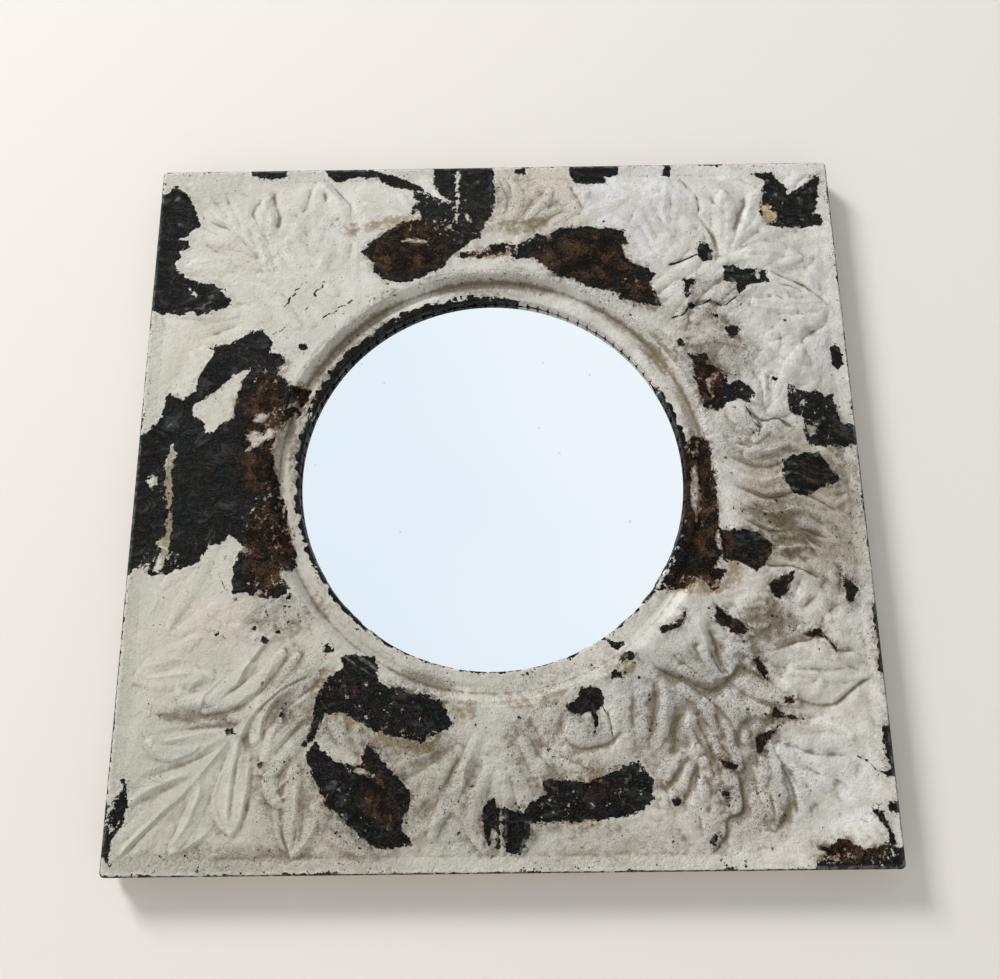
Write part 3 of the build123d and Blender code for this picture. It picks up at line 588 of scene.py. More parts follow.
STAINED = [
    (-94, 240, 30, 8, 16, 0.9), (-126, 234, 9, 9, 0, 0.8), (-40, 224, 10, 26, 30, 0.5),
    (36, 238, 14, 8, 0, 1.0), (142, 104, 12, 22, 20, 0.6),
    (-140, -175, 7, 26, -10, 0.8), (-118, -190, 20, 7, -20, 0.9), (-72, -208, 34, 8, -8, 1.0),
    (-136, -160, 16, 6, 40, 0.7), (-125, -240, 12, 40, -50, 0.5), (247, 252, 7, 14, 0, 1.0),
    (244, -58, 20, 14, -40, 0.6), (60, -236, 46, 8, 8, 0.5), (76, -240, 10, 8, 0, 1.0),
    (62, -268, 14, 10, 0, 0.8), (160, -92, 26, 8, 0, 0.9), (185, -82, 10, 12, 0, 0.8),
    (40, -176, 16, 6, 20, 0.9), (14, -180, 16, 6, 0, 0.9), (-26, -184, 12, 12, 0, 0.8),
    (98, -152, 16, 8, 20, 0.7), (140, -212, 20, 20, 0, 0.5), (160, -230, 16, 24, 0, 0.4),
    (126, -245, 12, 20, 0, 0.4), (-186, 95, 12, 14, 0, 0.4), (-8, 204, 34, 6, 0, 0.6),
]
GRIMY = [
    (215, -120, 24, 20, 0, 1.0), (232, -40, 44, 26, -40, 0.9), (150, -190, 60, 50, 0, 0.85),
    (180, -240, 50, 40, 0, 0.75), (40, -215, 50, 40, 0, 0.6), (215, 30, 34, 30, 0, 0.7),
    (185, 140, 30, 30, 0, 0.45), (-175, -110, 26, 16, 0, 0.5), (90, -285, 120, 18, 0, 0.3),
    (-60, -240, 60, 40, 0, 0.55), (-158, -172, 26, 34, 0, 0.8), (-80, -208, 60, 16, -12, 0.9),
    (-120, -262, 50, 26, -50, 0.7), (-60, -170, 30, 16, -20, 0.7),
    (10, -270, 60, 20, 10, 0.5), (205, -190, 14, 30, 0, 0.6), (30, 262, 50, 34, 0, 0.5),
    (190, -150, 30, 20, 30, 0.8), (270, -70, 30, 40, 0, 0.5), (290, 0, 16, 60, 0, 0.5),
    (-165, -250, 24, 40, 0, 0.5), (-200, -290, 90, 10, 0, 0.5), (-230, -185, 40, 10, 0, 0.6),
    (-120, 130, 50, 14, 48, 0.6), (0, 178, 70, 12, 0, 0.7), (100, 150, 50, 10, -40, 0.5),
    (165, 60, 12, 60, 10, 0.6), (-164, 30, 10, 50, 0, 0.5), (60, -160, 90, 12, 12, 0.4),
    (120, 165, 30, 14, -40, 0.7), (190, 108, 34, 22, 0, 0.9), (190, 165, 26, 20, 0, 0.6),
]
SCRAPPY = [
    (-186, 92, 18, 22, 20, 0.7), (-172, 55, 26, 20, 40, 1.0), (-196, 30, 14, 16, 0, 0.5),
    (-188, -22, 18, 26, 0, 0.85), (-176, -52, 14, 30, 10, 0.8), (-186, -86, 18, 10, 0, 0.9),
    (-276, 10, 8, 60, 0, 0.6), (-276, -62, 22, 10, 0, 0.9), (-44, 240, 16, 22, 0, 0.75),
    (-36, 268, 8, 40, 0, 0.5), (-2, 208, 26, 10, 0, 0.9), (122, 172, 20, 26, -40, 0.6),
    (250, 262, 24, 24, 0, 0.6), (163, 20, 6, 80, 0, 0.9), (178, -30, 5, 60, 0, 0.5),
    (158, -88, 26, 10, 0, 0.9), (262, 62, 26, 22, 0, 0.6), (208, 68, 16, 14, 0, 0.6),
    (184, 86, 10, 20, 0, 0.7), (-80, -184, 40, 18, -15, 0.4), (-70, -205, 40, 8, 0, 0.6),
    (-92, -262, 26, 18, 30, 0.5), (60, -250, 44, 12, 8, 0.65), (104, -240, 12, 16, 0, 0.7),
    (270, -296, 44, 8, 0, 0.9), (-298, -255, 8, 24, 0, 0.9), (-100, 196, 26, 12, 0, 0.5),
    (-110, -250, 40, 30, -50, 0.45), (-95, -180, 50, 24, -20, 0.5), (60, -250, 60, 22, 12, 0.5),
    (-60, 250, 50, 40, 0, 0.6), (10, 218, 40, 16, 0, 0.7), (180, 60, 16, 50, 10, 0.6),
    (175, -30, 10, 50, 0, 0.4), (270, 60, 30, 40, 0, 0.5), (-195, -40, 16, 50, 0, 0.6),
    (-262, 200, 30, 60, 0, 0.25),
]
# How wide the lip is dark round the opening, as worn-off paint and in part as painted shade on its
# inner wall and tabs: degrees, and millimetres past the lip's back
LIP_WEAR_AND_SHADE = [(0, 6.5), (22, 4), (32, 0.5), (38, -2), (74, -2), (82, 2.5), (95, 6),
                  (112, 7.5), (150, 8), (175, 5.5), (200, 4), (228, 4.5), (245, 2.4),
                  (300, 2.2), (330, 3.5), (360, 6.5)]


def srgb(red, green, blue):
    """A colour given in 0-255 display values, as the linear colour that Blender mixes."""
    shares = [value / 255 for value in (red, green, blue)]
    linear = [s / 12.92 if s < 0.04045 else ((s + 0.055) / 1.055) ** 2.4 for s in shares]
    return (*linear, 1.0)


# Coats of another tint than the cream: colour, softness of their edge in mm, outline
COATS = [
    (srgb(205, 198, 186), 7.0, [(2, 302), (60, 302), (68, 290), (76, 268), (80, 250), (98, 236),
                                (88, 230), (60, 234), (40, 230), (28, 222), (18, 214), (4, 220),
                                (-6, 232), (-4, 262)]),
    (srgb(213, 214, 216), 16.0, [(74, 290), (150, 300), (176, 270), (150, 236), (120, 206),
                                (118, 226), (84, 246)]),
    (srgb(202, 202, 198), 14.0, [(100, -140), (150, -110), (196, -100), (200, -150), (170, -180),
                                 (110, -200), (86, -170)]),
    (srgb(230, 230, 228), 8.0, [(204, -204), (262, -214), (292, -236), (284, -268), (240, -284),
                                (214, -250)]),
    (srgb(202, 196, 184), 16.0, [(-180, -300), (-60, -300), (-80, -250), (-150, -240)]),
    (srgb(198, 192, 180), 10.0, [(-250, -98), (-180, -96), (-176, -140), (-250, -130)]),
    (srgb(179, 171, 153), 18.0, [(196, -70), (300, -80), (300, 20), (250, 40), (200, 10)]),
    (srgb(190, 186, 178), 18.0, [(150, 80), (200, 70), (214, 120), (190, 150), (140, 150)]),
    (srgb(142, 130, 104), 1.0, [(-290, -50), (-260, -50), (-262, 12), (-276, 26), (-288, 10)]),
    (srgb(196, 168, 124), 1.0, [(240, 262), (248, 259), (256, 248), (254, 240), (240, 240)]),
]
# Cream paint at the panel's corners: it greys and yellows from one to the next
CREAM_LOW_LEFT = srgb(182, 180, 168)
CREAM_LOW_RIGHT = srgb(222, 218, 210)
CREAM_TOP_LEFT = srgb(199, 196, 189)
CREAM_TOP_RIGHT = srgb(218, 217, 214)


def in_row(x, y, height):
    """A place on the face, in metres of the row."""
    return np.stack([x * MM, (BORDER_FRONT - height) * MM, (PANEL_MIDDLE + y) * MM], axis=-1)


# ------------------------------------------------------------------ shape of the pressed sheet
def smooth(value, low, high):
    """0 below low, 1 above high and an easy rise between them."""
    share = np.clip((value - low) / (high - low), 0, 1)
    return share * share * (3 - 2 * share)


def ripple(x, y, length, seed):
    """Gentle uneven waves of about a length, within -1 and 1."""
    rng = np.random.default_rng(seed)
    found = np.zeros_like(x)
    for _ in range(RIPPLE_WAVES):
        turn, shift = rng.uniform(0, 2 * math.pi, 2)
        number = 2 * math.pi / length * rng.uniform(0.6, 1.5)
        found += np.sin((x * math.cos(turn) + y * math.sin(turn)) * number + shift)
    return np.clip(found / RIPPLE_REACH, -1, 1)


def rounded(profile):
    """A run of points with arcs at its corners, from points of place, height and radius."""
    found = [profile[0][:2]]
    for before, corner, after in zip(profile, profile[1:], profile[2:]):
        here = Vector(corner[:2])
        back = (Vector(before[:2]) - here).normalized()
        ahead = (Vector(after[:2]) - here).normalized()
        half_angle = back.angle(ahead) / 2
        reach = corner[2] / math.tan(half_angle)
        middle = here + (back + ahead).normalized() * corner[2] / math.sin(half_angle)
        start, end = here + back * reach - middle, here + ahead * reach - middle
        sweep = start.angle_signed(end)
        for step in range(ARC_STEPS + 1):
            turned = Matrix.Rotation(-sweep * step / ARC_STEPS, 2) @ start
            found.append(tuple(middle + turned))
    found.append(profile[-1][:2])
    return np.array(found)


def along(points):
    """A smooth curve through points, as points close to each other."""
    line = np.array([points[0], *points, points[-1]], float)
    line[0], line[-1] = 2 * line[1] - line[2], 2 * line[-2] - line[-3]
    found = []
    for p, q, r, s in zip(line, line[1:], line[2:], line[3:]):
        count = max(2, int(np.hypot(*(r - q)[:2]) / CURVE_STEP))
        t = (np.arange(count) / count)[:, None]
        found.append(0.5 * (2 * q + (r - p) * t + (2 * p - 5 * q + 4 * r - s) * t ** 2
                            + (3 * q - p - 3 * r + s) * t ** 3))
    return np.vstack([*found, line[-2:-1]])


def around(line, reach, x, y):
    """Which places lie within reach of a line's box."""
    low, high = line[:, :2].min(axis=0) - reach, line[:, :2].max(axis=0) + reach
    return (x > low[0]) & (x < high[0]) & (y > low[1]) & (y < high[1])


def beside(start, end, x, y):
    """How far along a segment each place's nearest point is, and the way from it."""
    run_x, run_y = end[0] - start[0], end[1] - start[1]
    share = ((x - start[0]) * run_x + (y - start[1]) * run_y) / (run_x ** 2 + run_y ** 2)
    share = np.clip(share, 0, 1)
    return share, x - start[0] - run_x * share, y - start[1] - run_y * share


def stroke_height(points, a, b):
    """How high a rounded stroke of height 1 stands at places of the eighth."""
    line = along(points)
    near = around(line, line[:, 2].max(), a, b)
    near_a, near_b = a[near], b[near]
    best = np.zeros(near_a.shape)
    for start, end in zip(line, line[1:]):
        share, off_a, off_b = beside(start, end, near_a, near_b)
        width = start[2] + (end[2] - start[2]) * share
        best = np.maximum(best, 1 - (np.hypot(off_a, off_b) / width) ** 2)
    risen = np.zeros(a.shape)
    risen[near] = best
    return risen


def pressed_leaves(x, y):
    """Height of the leaf pattern that all eight parts of the face share."""
    bent_x, bent_y = (place + LEAF_DRIFT * ripple(x, y, 90, seed)
                      for place, seed in ((x, 3), (y, 4)))
    a = np.minimum(abs(bent_x), abs(bent_y))
    b = np.maximum(abs(bent_x), abs(bent_y))
    found = sum((height * stroke_height(points, a, b)) ** STROKE_BLEND
                for height, points in STROKES)
    found = found ** (1 / STROKE_BLEND)
    return found - sum(depth * stroke_height(points, a, b) for depth, points in GROOVES)


def folded_lines(x, y):
    """Height of the lines that are this sheet's own: ridges less creases, none quite even."""
    uneven = 0.85 + 0.3 * ripple(x, y, 34, 23)
    x, y = x + FOLD_WAVER * ripple(x, y, 22, 21), y + FOLD_WAVER * ripple(x, y, 22, 22)
    raised, sunk = np.zeros(x.shape), np.zeros(x.shape)
    for height, left, right, points in FOLDS:
        line = along(points)
        near = around(line, max(left, right), x, y)
        px, py = x[near], y[near]
        best = np.zeros(px.shape)
        for number, (start, end) in enumerate(zip(line, line[1:])):
            share, off_x, off_y = beside(start, end, px, py)
            run = end - start
            leftwards = run[0] * (py - start[1]) - run[1] * (px - start[0]) > 0
            form = 1 - np.hypot(off_x, off_y) / np.where(leftwards, left, right)
            gone_by = (number + share) / (len(line) - 1)
            faded = np.sqrt(smooth(np.minimum(gone_by, 1 - gone_by), 0, FOLD_FADE))
            best = np.maximum(best, np.clip(form, 0, 1) ** FOLD_SHARPNESS * faded)
        layer = raised if height > 0 else sunk
        layer[near] = np.maximum(layer[near], abs(height) * best)
    return (raised - sunk) * uneven


def field_height(x, y):
    """Height of the field between the crest and the folded edge."""
    radius = np.hypot(x - RING_X, y - RING_Y)
    inset = HALF - np.maximum(abs(x), abs(y))
    cone = np.clip(CREST_HEIGHT - FIELD_FALL * (radius - CREST_RADIUS), LEAST_HEIGHT, None)
    bevel = np.clip((inset - BORDER_WIDTH) * BEVEL_SLOPE, LEAST_HEIGHT, None)
    lower = (cone ** -SLOPE_BLEND + bevel ** -SLOPE_BLEND) ** (-1 / SLOPE_BLEND)
    away = smooth(radius, CREST_RADIUS, CREST_RADIUS + CREST_FOOT)
    pressed = LEAF_SHARE * pressed_leaves(x, y) + folded_lines(x, y)
    pressed = pressed * (1 - blotches(FLATTENED, x, y))
    # the low right is the most crumpled
    crumpled = 0.35 + 0.65 * smooth(x - 0.6 * y, -120, 220)
    crumples = sum(height * ripple(x, y, length, seed) for height, length, seed in DENTS)
    crumples += sum(height * abs(ripple(x, y, length, seed)) for height, length, seed in CREASES)
    dents = WIDE_DENT * ripple(x, y, 70, 5) + crumpled * crumples
    height = cone + (lower - cone) * away
    height += (pressed + dents) * away * smooth(inset, *CALM_EDGE)
    return np.clip(height, 0, CREST_HEIGHT - 0.05 * away)


def outline(turns):
    """The folded edge and its outward direction for each turn about the panel's centre."""
    eighth = math.pi / 4
    side = np.floor((turns + eighth) / (2 * eighth)).astype(int) % 4
    up = (((turns + eighth) % (2 * eighth)) / eighth - 1) * HALF
    across = np.full(turns.shape, HALF)
    square = np.stack([np.choose(side, [across, -up, -across, up]),
                       np.choose(side, [up, across, -up, -across])], axis=-1)
    core = np.clip(square, CORNER_RADIUS - HALF, HALF - CORNER_RADIUS)
    away = square - core
    away /= np.linalg.norm(away, axis=-1, keepdims=True)
    return core + CORNER_RADIUS * away, away


def sheet_grid():
    """Places of the whole sheet, row by row outwards, and the number of moulding rows."""
    turns = (np.arange(COLUMNS) / COLUMNS - 1 / 8) * 2 * math.pi
    towards = np.stack([np.cos(turns), np.sin(turns)], axis=-1)
    centre = np.array([RING_X, RING_Y])
    edge, away = outline(turns)
    filled = FILLED_SHARE * blotches(FILLED, *(centre + towards * CREST_RADIUS).T)
    rows = []
    for radius, height in rounded(MOULDING):
        place = centre + towards * radius
        uneven = sum(abs(sink * ripple(*place.T, length, seed)) for sink, length, seed in KNOCKS)
        sunk = uneven * smooth(np.array(radius), OPENING_RADIUS, OPENING_RADIUS + LIP_WIDTH)
        straight = np.interp(radius, *np.array(FILLED_GROOVE).T)
        rows.append((place, height + (straight - height) * filled - sunk))
    moulding_rows = len(rows)
    inner = centre + towards * CREST_RADIUS
    outer = edge - away * FOLD_RADIUS
    for row in range(1, FIELD_ROWS + 1):
        place = inner + (outer - inner) * row / FIELD_ROWS
        rows.append((place, field_height(place[:, 0], place[:, 1])))
    for step in range(1, BEND_ROWS + 1):
        bend = step / BEND_ROWS * math.pi / 2
        place = edge - away * FOLD_RADIUS * (1 - math.sin(bend))
        rows.append((place, np.full(COLUMNS, FOLD_RADIUS * (math.cos(bend) - 1))))
    for step in range(1, FLANGE_ROWS + 1):
        drop = FOLD_RADIUS + (FLANGE_DEPTH - FOLD_RADIUS) * step / FLANGE_ROWS
        rows.append((edge, np.full(COLUMNS, -drop)))
    hem = edge - away * TIN
    rows += [(hem, np.full(COLUMNS, -depth)) for depth in (FLANGE_DEPTH, HEM_DEPTH)]
    places = np.array([place for place, _ in rows])
    heights = np.array([height for _, height in rows])
    return places[..., 0], places[..., 1], heights, moulding_rows


# ------------------------------------------------------------------ wear of the paint
def distance_to(points, x, y, closed=True):
    """Millimetres from each place to an outline, negative inside a closed one."""
    line = np.array(points, float)
    found = np.full(x.shape, FAR)
    near = around(line, FAR, x, y)
    px, py = x[near], y[near]
    least = np.full(px.shape, FAR ** 2)
    inside = np.zeros(px.shape, bool)
    ends = np.roll(line, -1, axis=0) if closed else line[1:]
    for (ax, ay), (bx, by) in zip(line, ends):
        _, off_x, off_y = beside((ax, ay), (bx, by), px, py)
        least = np.minimum(least, off_x ** 2 + off_y ** 2)
        if closed and by != ay:
            crossing = (bx - ax) * (py - ay) / (by - ay) + ax
            inside ^= ((ay > py) != (by > py)) & (px < crossing)
    found[near] = np.where(inside, -1, 1) * np.sqrt(least)
    return found


def blotches(listed, x, y):
    """Weight from 0 to 1 of soft oval blotches."""
    found = np.zeros(x.shape)
    for at_x, at_y, length, width, turn, strength in listed:
        cosine, sine = math.cos(math.radians(turn)), math.sin(math.radians(turn))
        u = ((x - at_x) * cosine + (y - at_y) * sine) / length
        v = ((y - at_y) * cosine - (x - at_x) * sine) / width
        found = np.maximum(found, strength * (1 - smooth(np.hypot(u, v), *BLOTCH_EDGE)))
    return found


def cream_at(x, y):
    """The cream paint's own colour at each place."""
    right, top = (smooth(way, -HALF, HALF)[..., None] for way in (x, y))
    low = np.array(CREAM_LOW_LEFT) * (1 - right) + np.array(CREAM_LOW_RIGHT) * right
    high = np.array(CREAM_TOP_LEFT) * (1 - right) + np.array(CREAM_TOP_RIGHT) * right
    colour = low * (1 - top) + high * top
    for tint, soft, points in COATS:
        edge = distance_to(points, x, y) + soft * 0.5 * ripple(x, y, 16, 11)
        colour += (np.array(tint) - colour) * (1 - smooth(edge, -soft, soft))[..., None]
    return colour


def paint_state(x, y, height):
    """What the paint's material reads at each place of the sheet, as named arrays."""
    bare = np.full(x.shape, FAR)
    for points in BARE.values():
        bare = np.minimum(bare, distance_to(points, x, y))
    for points in LEFT_ON.values():
        bare = np.maximum(bare, -distance_to(points, x, y))
    for at_x, at_y, radius in SPOTS:
        bare = np.minimum(bare, np.hypot(x - at_x, y - at_y) - radius)
    crack = np.full(x.shape, FAR)
    for narrowed, cracks in ((-0.1, CRACKS), (0.35, FINE_CRACKS)):
        for points in cracks:
            crack = np.minimum(crack, distance_to(points, x, y, closed=False) + narrowed)
    # the lip is dark all round, as worn paint and in part as painted shade, in jags that grow with
    # its width
    angle = np.degrees(np.arctan2(y - RING_Y, x - RING_X)) % 360
    dark_lip_width = np.interp(angle, *np.array(LIP_WEAR_AND_SHADE).T)
    jagged = 0.45 * np.clip(dark_lip_width, 0, 6) * ripple(x, y, 13, 13)
    lip = np.hypot(x - RING_X, y - RING_Y) - OPENING_RADIUS + LIP_BACK - dark_lip_width + jagged
    # so is the fold; down the sides the paint is gone
    inset = HALF - np.maximum(abs(x), abs(y))
    chipped = 0.2 + 3.0 * np.clip(ripple(x, y, 50, 12) - 0.1, 0, 1)
    fold = np.where(height < SIDE_START, -1.0 - height * 0.12, inset - chipped)
    blotched = {"rust": RUSTY, "stain": STAINED, "olive": OLIVE, "grime": GRIMY,
                "scraps": SCRAPPY}
    return {"bare": np.minimum(np.minimum(bare, lip), fold), "crack": crack,
            "cream": cream_at(x, y),
            **{name: blotches(listed, x, y) for name, listed in blotched.items()}}


def hollowness(height, passes):
    """How far each place lies below its surroundings, in mm, over a grid of heights."""
    near = height
    for _ in range(passes):
        near = (np.roll(near, 1, axis=1) + np.roll(near, -1, axis=1) + 2 * near) / 4
        padded = np.vstack([near[:1], near, near[-1:]])
        near = (padded[:-2] + padded[2:] + 2 * near) / 4
    return near - height


def give(mesh, values):
    """Store named arrays on a mesh's points: single numbers, or colours with four."""
    for name, value in values.items():
        coloured = value.size > len(mesh.vertices)
        kind, field = ("FLOAT_COLOR", "color") if coloured else ("FLOAT", "value")
        layer = mesh.attributes.new(name, kind, "POINT")
        layer.data.foreach_set(field, value.astype(np.float32).ravel())


def linked(name, data):
    """A new object of the given data, linked to the scene."""
    made = bpy.data.objects.new(name, data)
    bpy.context.scene.collection.objects.link(made)
    return made


def piece(name, mesh, stands_for):
    """Put a finished mesh in the scene, riding on the frame in place of CAD nodes."""
    made = linked(name, mesh)
    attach(made, "frame")
    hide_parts(*stands_for)


def grid_mesh(name, points, normals):
    """A mesh of a grid of rows."""
    rows, columns = points.shape[:2]
    here = np.arange(rows * columns).reshape(rows, columns)
    faces = np.stack([here[:-1, :-1], here[1:, :-1], here[1:, 1:], here[:-1, 1:]], axis=-1)
    faces = faces.reshape(-1, 4)
    mesh = bpy.data.meshes.new(name)
    mesh.from_pydata(points.reshape(-1, 3).tolist(), [], faces.tolist())
    mesh.polygons.foreach_set("use_smooth", np.ones(len(faces), bool))
    mesh.normals_split_custom_set_from_vertices(normals.reshape(-1, 3).tolist())
    return mesh


# ------------------------------------------------------------------ node trees
def join(tree, node, inputs):
    """Set a node's inputs to values, or link them to sockets."""
    for name, value in inputs.items():
        if isinstance(value, bpy.types.NodeSocket):
            tree.links.new(value, node.inputs[name])
        else:
            node.inputs[name].default_value = value
    return node


def put(tree, kind, inputs=None, **settings):
    """A new node with its settings and inputs."""
    made = tree.nodes.new(kind)
    for name, value in settings.items():
        setattr(made, name, value)
    return join(tree, made, inputs or {})


def use(tree, group, inputs):
    """A group's outputs, with its inputs set."""
    return put(tree, "ShaderNodeGroup", inputs, node_tree=group).outputs


def maths(tree, operation, first, *others):
    """The result of Math nodes that take in one value after another."""
    for value in others:
        first = put(tree, "ShaderNodeMath", {0: first, 1: value}, operation=operation).outputs[0]
    return first


def total(tree, *values):
    """Values added up."""
    return maths(tree, "ADD", *values)


def product(tree, *values):
    """Values multiplied."""
    return maths(tree, "MULTIPLY", *values)


def less(tree, first, second):
    """A value less another."""
    return maths(tree, "SUBTRACT", first, second)


def swing(tree, noise, amount):
    """A noise value as a push to either side of 0."""
    return product(tree, less(tree, noise, 0.5), amount)


def rise(tree, value, low, high, start=0.0, end=1.0):
    """An eased rise from start to end while a value goes from low to high."""
    inputs = {"Value": value, "From Min": low, "From Max": high, "To Min": start, "To Max": end}
    return put(tree, "ShaderNodeMapRange", inputs, interpolation_type="SMOOTHSTEP").outputs[0]


def mixed(tree, share, first, second):
    """Two colours mixed."""
    return put(tree, "ShaderNodeMix", {0: share, 6: first, 7: second}, data_type="RGBA").outputs[2]


def layered(tree, colour, *layers):
    """A colour with others laid over it, each as a share and a colour."""
    for share, tint in layers:
        colour = mixed(tree, share, colour, tint)
    return colour


def between(tree, share, first, second):
    """Two numbers mixed."""
    return put(tree, "ShaderNodeMix", {0: share, 2: first, 3: second}).outputs[0]


def cloud(tree, place, scale, detail=3.0, roughness=0.55, distortion=0.0):
    """A noise value."""
    inputs = {"Vector": place, "Scale": scale, "Detail": detail, "Roughness": roughness,
              "Distortion": distortion}
    return put(tree, "ShaderNodeTexNoise", inputs).outputs["Fac"]


def vector(tree, operation, inputs):
    """The result of a Vector Math node."""
    return put(tree, "ShaderNodeVectorMath", inputs, operation=operation).outputs[0]


def millimetres(tree):
    """Object coordinates in millimetres."""
    place = put(tree, "ShaderNodeTexCoord").outputs["Object"]
    return vector(tree, "SCALE", {0: place, "Scale": 1 / MM})


def stored(tree, name, output="Fac"):
    """A named value stored on the mesh."""
    return put(tree, "ShaderNodeAttribute", attribute_name=name).outputs[output]


def new_material(name):
    """An empty node material and its tree."""
    made = bpy.data.materials.new(name)
    made.use_nodes = True
    made.node_tree.nodes.clear()
    return made, made.node_tree


def surface(tree, inputs, height=None):
    """Finish a material with a Principled BSDF, bumped by a height in millimetres."""
    if height is not None:
        bump = put(tree, "ShaderNodeBump", {"Height": height, "Distance": MM})
        inputs = {**inputs, "Normal": bump.outputs[0]}
    shader = put(tree, "ShaderNodeBsdfPrincipled", inputs)
    put(tree, "ShaderNodeOutputMaterial", {"Surface": shader.outputs[0]})


def new_group(name, inputs, outputs, kind="ShaderNodeTree"):
    """A node group, its inputs as sockets and its output node, from names of sockets by type."""
    tree = bpy.data.node_groups.new(name, kind)
    for way, sockets in (("INPUT", inputs), ("OUTPUT", outputs)):
        for socket, labels in sockets.items():
            for label in labels:
                tree.interface.new_socket(label, in_out=way, socket_type="NodeSocket" + socket)
    return tree, put(tree, "NodeGroupInput").outputs, put(tree, "NodeGroupOutput")


def make_flecks():
    """Scattered small flecks: how many follows Amount, from 0 to 1."""
    tree, given, result = new_group(
        "flecks", {"Vector": ["Place"], "Float": ["Size", "Amount"]}, {"Float": ["Mask"]})
    scale = maths(tree, "DIVIDE", 1.0, given["Size"])
    cells = put(tree, "ShaderNodeTexVoronoi", {"Vector": given["Place"], "Scale": scale}).outputs
    chance = put(tree, "ShaderNodeSeparateColor", {0: cells["Color"]}).outputs
    wobble = cloud(tree, given["Place"], product(tree, scale, 3.0), 3)
    gap = total(tree, cells["Distance"], swing(tree, wobble, 2.0))
    spot = rise(tree, less(tree, gap, product(tree, chance[1], 0.34)), -0.02, 0.06, 1.0, 0.0)
    kept = maths(tree, "LESS_THAN", chance[0], given["Amount"])
    join(tree, result, {"Mask": product(tree, spot, kept)})
    return tree


def make_rust():
    """Patchy iron rust: its colour, and a height in millimetres for its crust."""
    tree, given, result = new_group("rust", {"Vector": ["Place"], "Color": ["Dark", "Bright"]},
                                    {"Color": ["Colour"], "Float": ["Height"]})
    place, dark = given["Place"], given["Dark"]
    grain = cloud(tree, place, 0.55, 5, 0.75)
    patches = total(tree, product(tree, cloud(tree, place, 0.07, 6, 0.7, 0.6), 0.6),
                    product(tree, grain, 0.4))
    pits = rise(tree, cloud(tree, place, 0.9, 3, 0.6), 0.52, 0.66, 0.0, 0.75)
    colour = layered(tree, dark, (rise(tree, patches, 0.45, 0.64), given["Bright"]), (pits, dark))
    join(tree, result, {"Colour": colour, "Height": product(tree, grain, 0.45)})
    return tree


def make_old_paint():
    """The aged face of thick old paint: its colour, with painted shade and dirt in hollows and
    painted highlights on ridges, and a height in millimetres for its lumps.
    """
    tree, given, result = new_group(
        "old_paint",
        {"Vector": ["Place"], "Float": ["Grime", "Hollow", "Valley", "Fold"],
         "Color": ["Colour", "Worn", "Warm", "Crease", "Ridge", "Dirt"]},
        {"Color": ["Colour"], "Float": ["Height", "Dirty"]})
    place, grime, hollow, fold, crease = (
        given[name] for name in ("Place", "Grime", "Hollow", "Fold", "Crease"))
    wide, close, fine = (cloud(tree, place, scale, detail, 0.6)
                         for scale, detail in ((0.035, 5), (0.2, 5), (0.9, 4)))
    warm = cloud(tree, place, 0.014, 3)
    # painted shade in the fine creases, darker still where there is grime
    crease_shade_and_grime = product(tree, fold, rise(tree, close, 0.35, 0.6, 0.4, 1.0),
                     total(tree, product(tree, grime, 1.6), 0.7))
    # grime ground into the paint, with shade painted into broad valleys, hollows and creases
    grime_and_shade = total(tree, product(tree, grime, 0.55), swing(tree, close, 1.5),
                      product(tree, hollow, 0.3), product(tree, fold, 0.6),
                      product(tree, given["Valley"], rise(tree, grime, 0.0, 0.8, 0.2, 0.6)))
    shaded_dirt_share = rise(tree, grime_and_shade, 0.12, 0.85, 0.0, 0.65)
    speckled = product(tree, rise(tree, fine, 0.48, 0.66, 0.0, 0.7),
                       rise(tree, grime, 0.0, 0.8, 0.35, 1.0))
    # hair cracks along stirred cells, only here and there
    stirred = put(tree, "ShaderNodeTexNoise", {"Vector": place, "Scale": 0.06, "Detail": 3.0})
    stirred = vector(tree, "SCALE", {0: stirred.outputs["Color"], "Scale": 26.0})
    stirred = vector(tree, "ADD", {0: place, 1: stirred})
    cells = put(tree, "ShaderNodeTexVoronoi", {"Vector": stirred, "Scale": 0.045},
                feature="DISTANCE_TO_EDGE").outputs["Distance"]
    hair = product(tree, rise(tree, cells, 0.002, 0.014, 0.5, 0.0),
                   rise(tree, cloud(tree, place, 0.02, 3), 0.55, 0.66))
    colour = layered(
        tree, given["Colour"],
        (rise(tree, wide, 0.38, 0.64, 0.0, 0.55), given["Worn"]),
        (rise(tree, warm, 0.42, 0.62, 0.0, 0.2), given["Warm"]),
        # painted shade in the hollows
        (rise(tree, hollow, 0.08, 1.2, 0.0, 0.65), crease),
        # painted highlights on the ridges
        (rise(tree, hollow, -0.7, -0.05, 0.25, 0.0), given["Ridge"]),
        (rise(tree, crease_shade_and_grime, 0.04, 0.4, 0.0, 0.7), crease),
        (shaded_dirt_share, given["Dirt"]), (speckled, crease), (hair, crease))
    waves = ((cloud(tree, place, 0.11, 4, 0.6, 1.2), 1.6), (close, 0.9), (fine, 0.22),
             (cloud(tree, place, 0.5, 4, 0.7), 0.95))
    height = total(tree, *(product(tree, wave, amount) for wave, amount in waves))
    height = product(tree, height, total(tree, 0.7, product(tree, grime, 1.6)))
    height = less(tree, height, product(tree, hair, 0.3))
    join(tree, result, {"Colour": colour, "Height": height, "Dirty": shaded_dirt_share})
    return tree


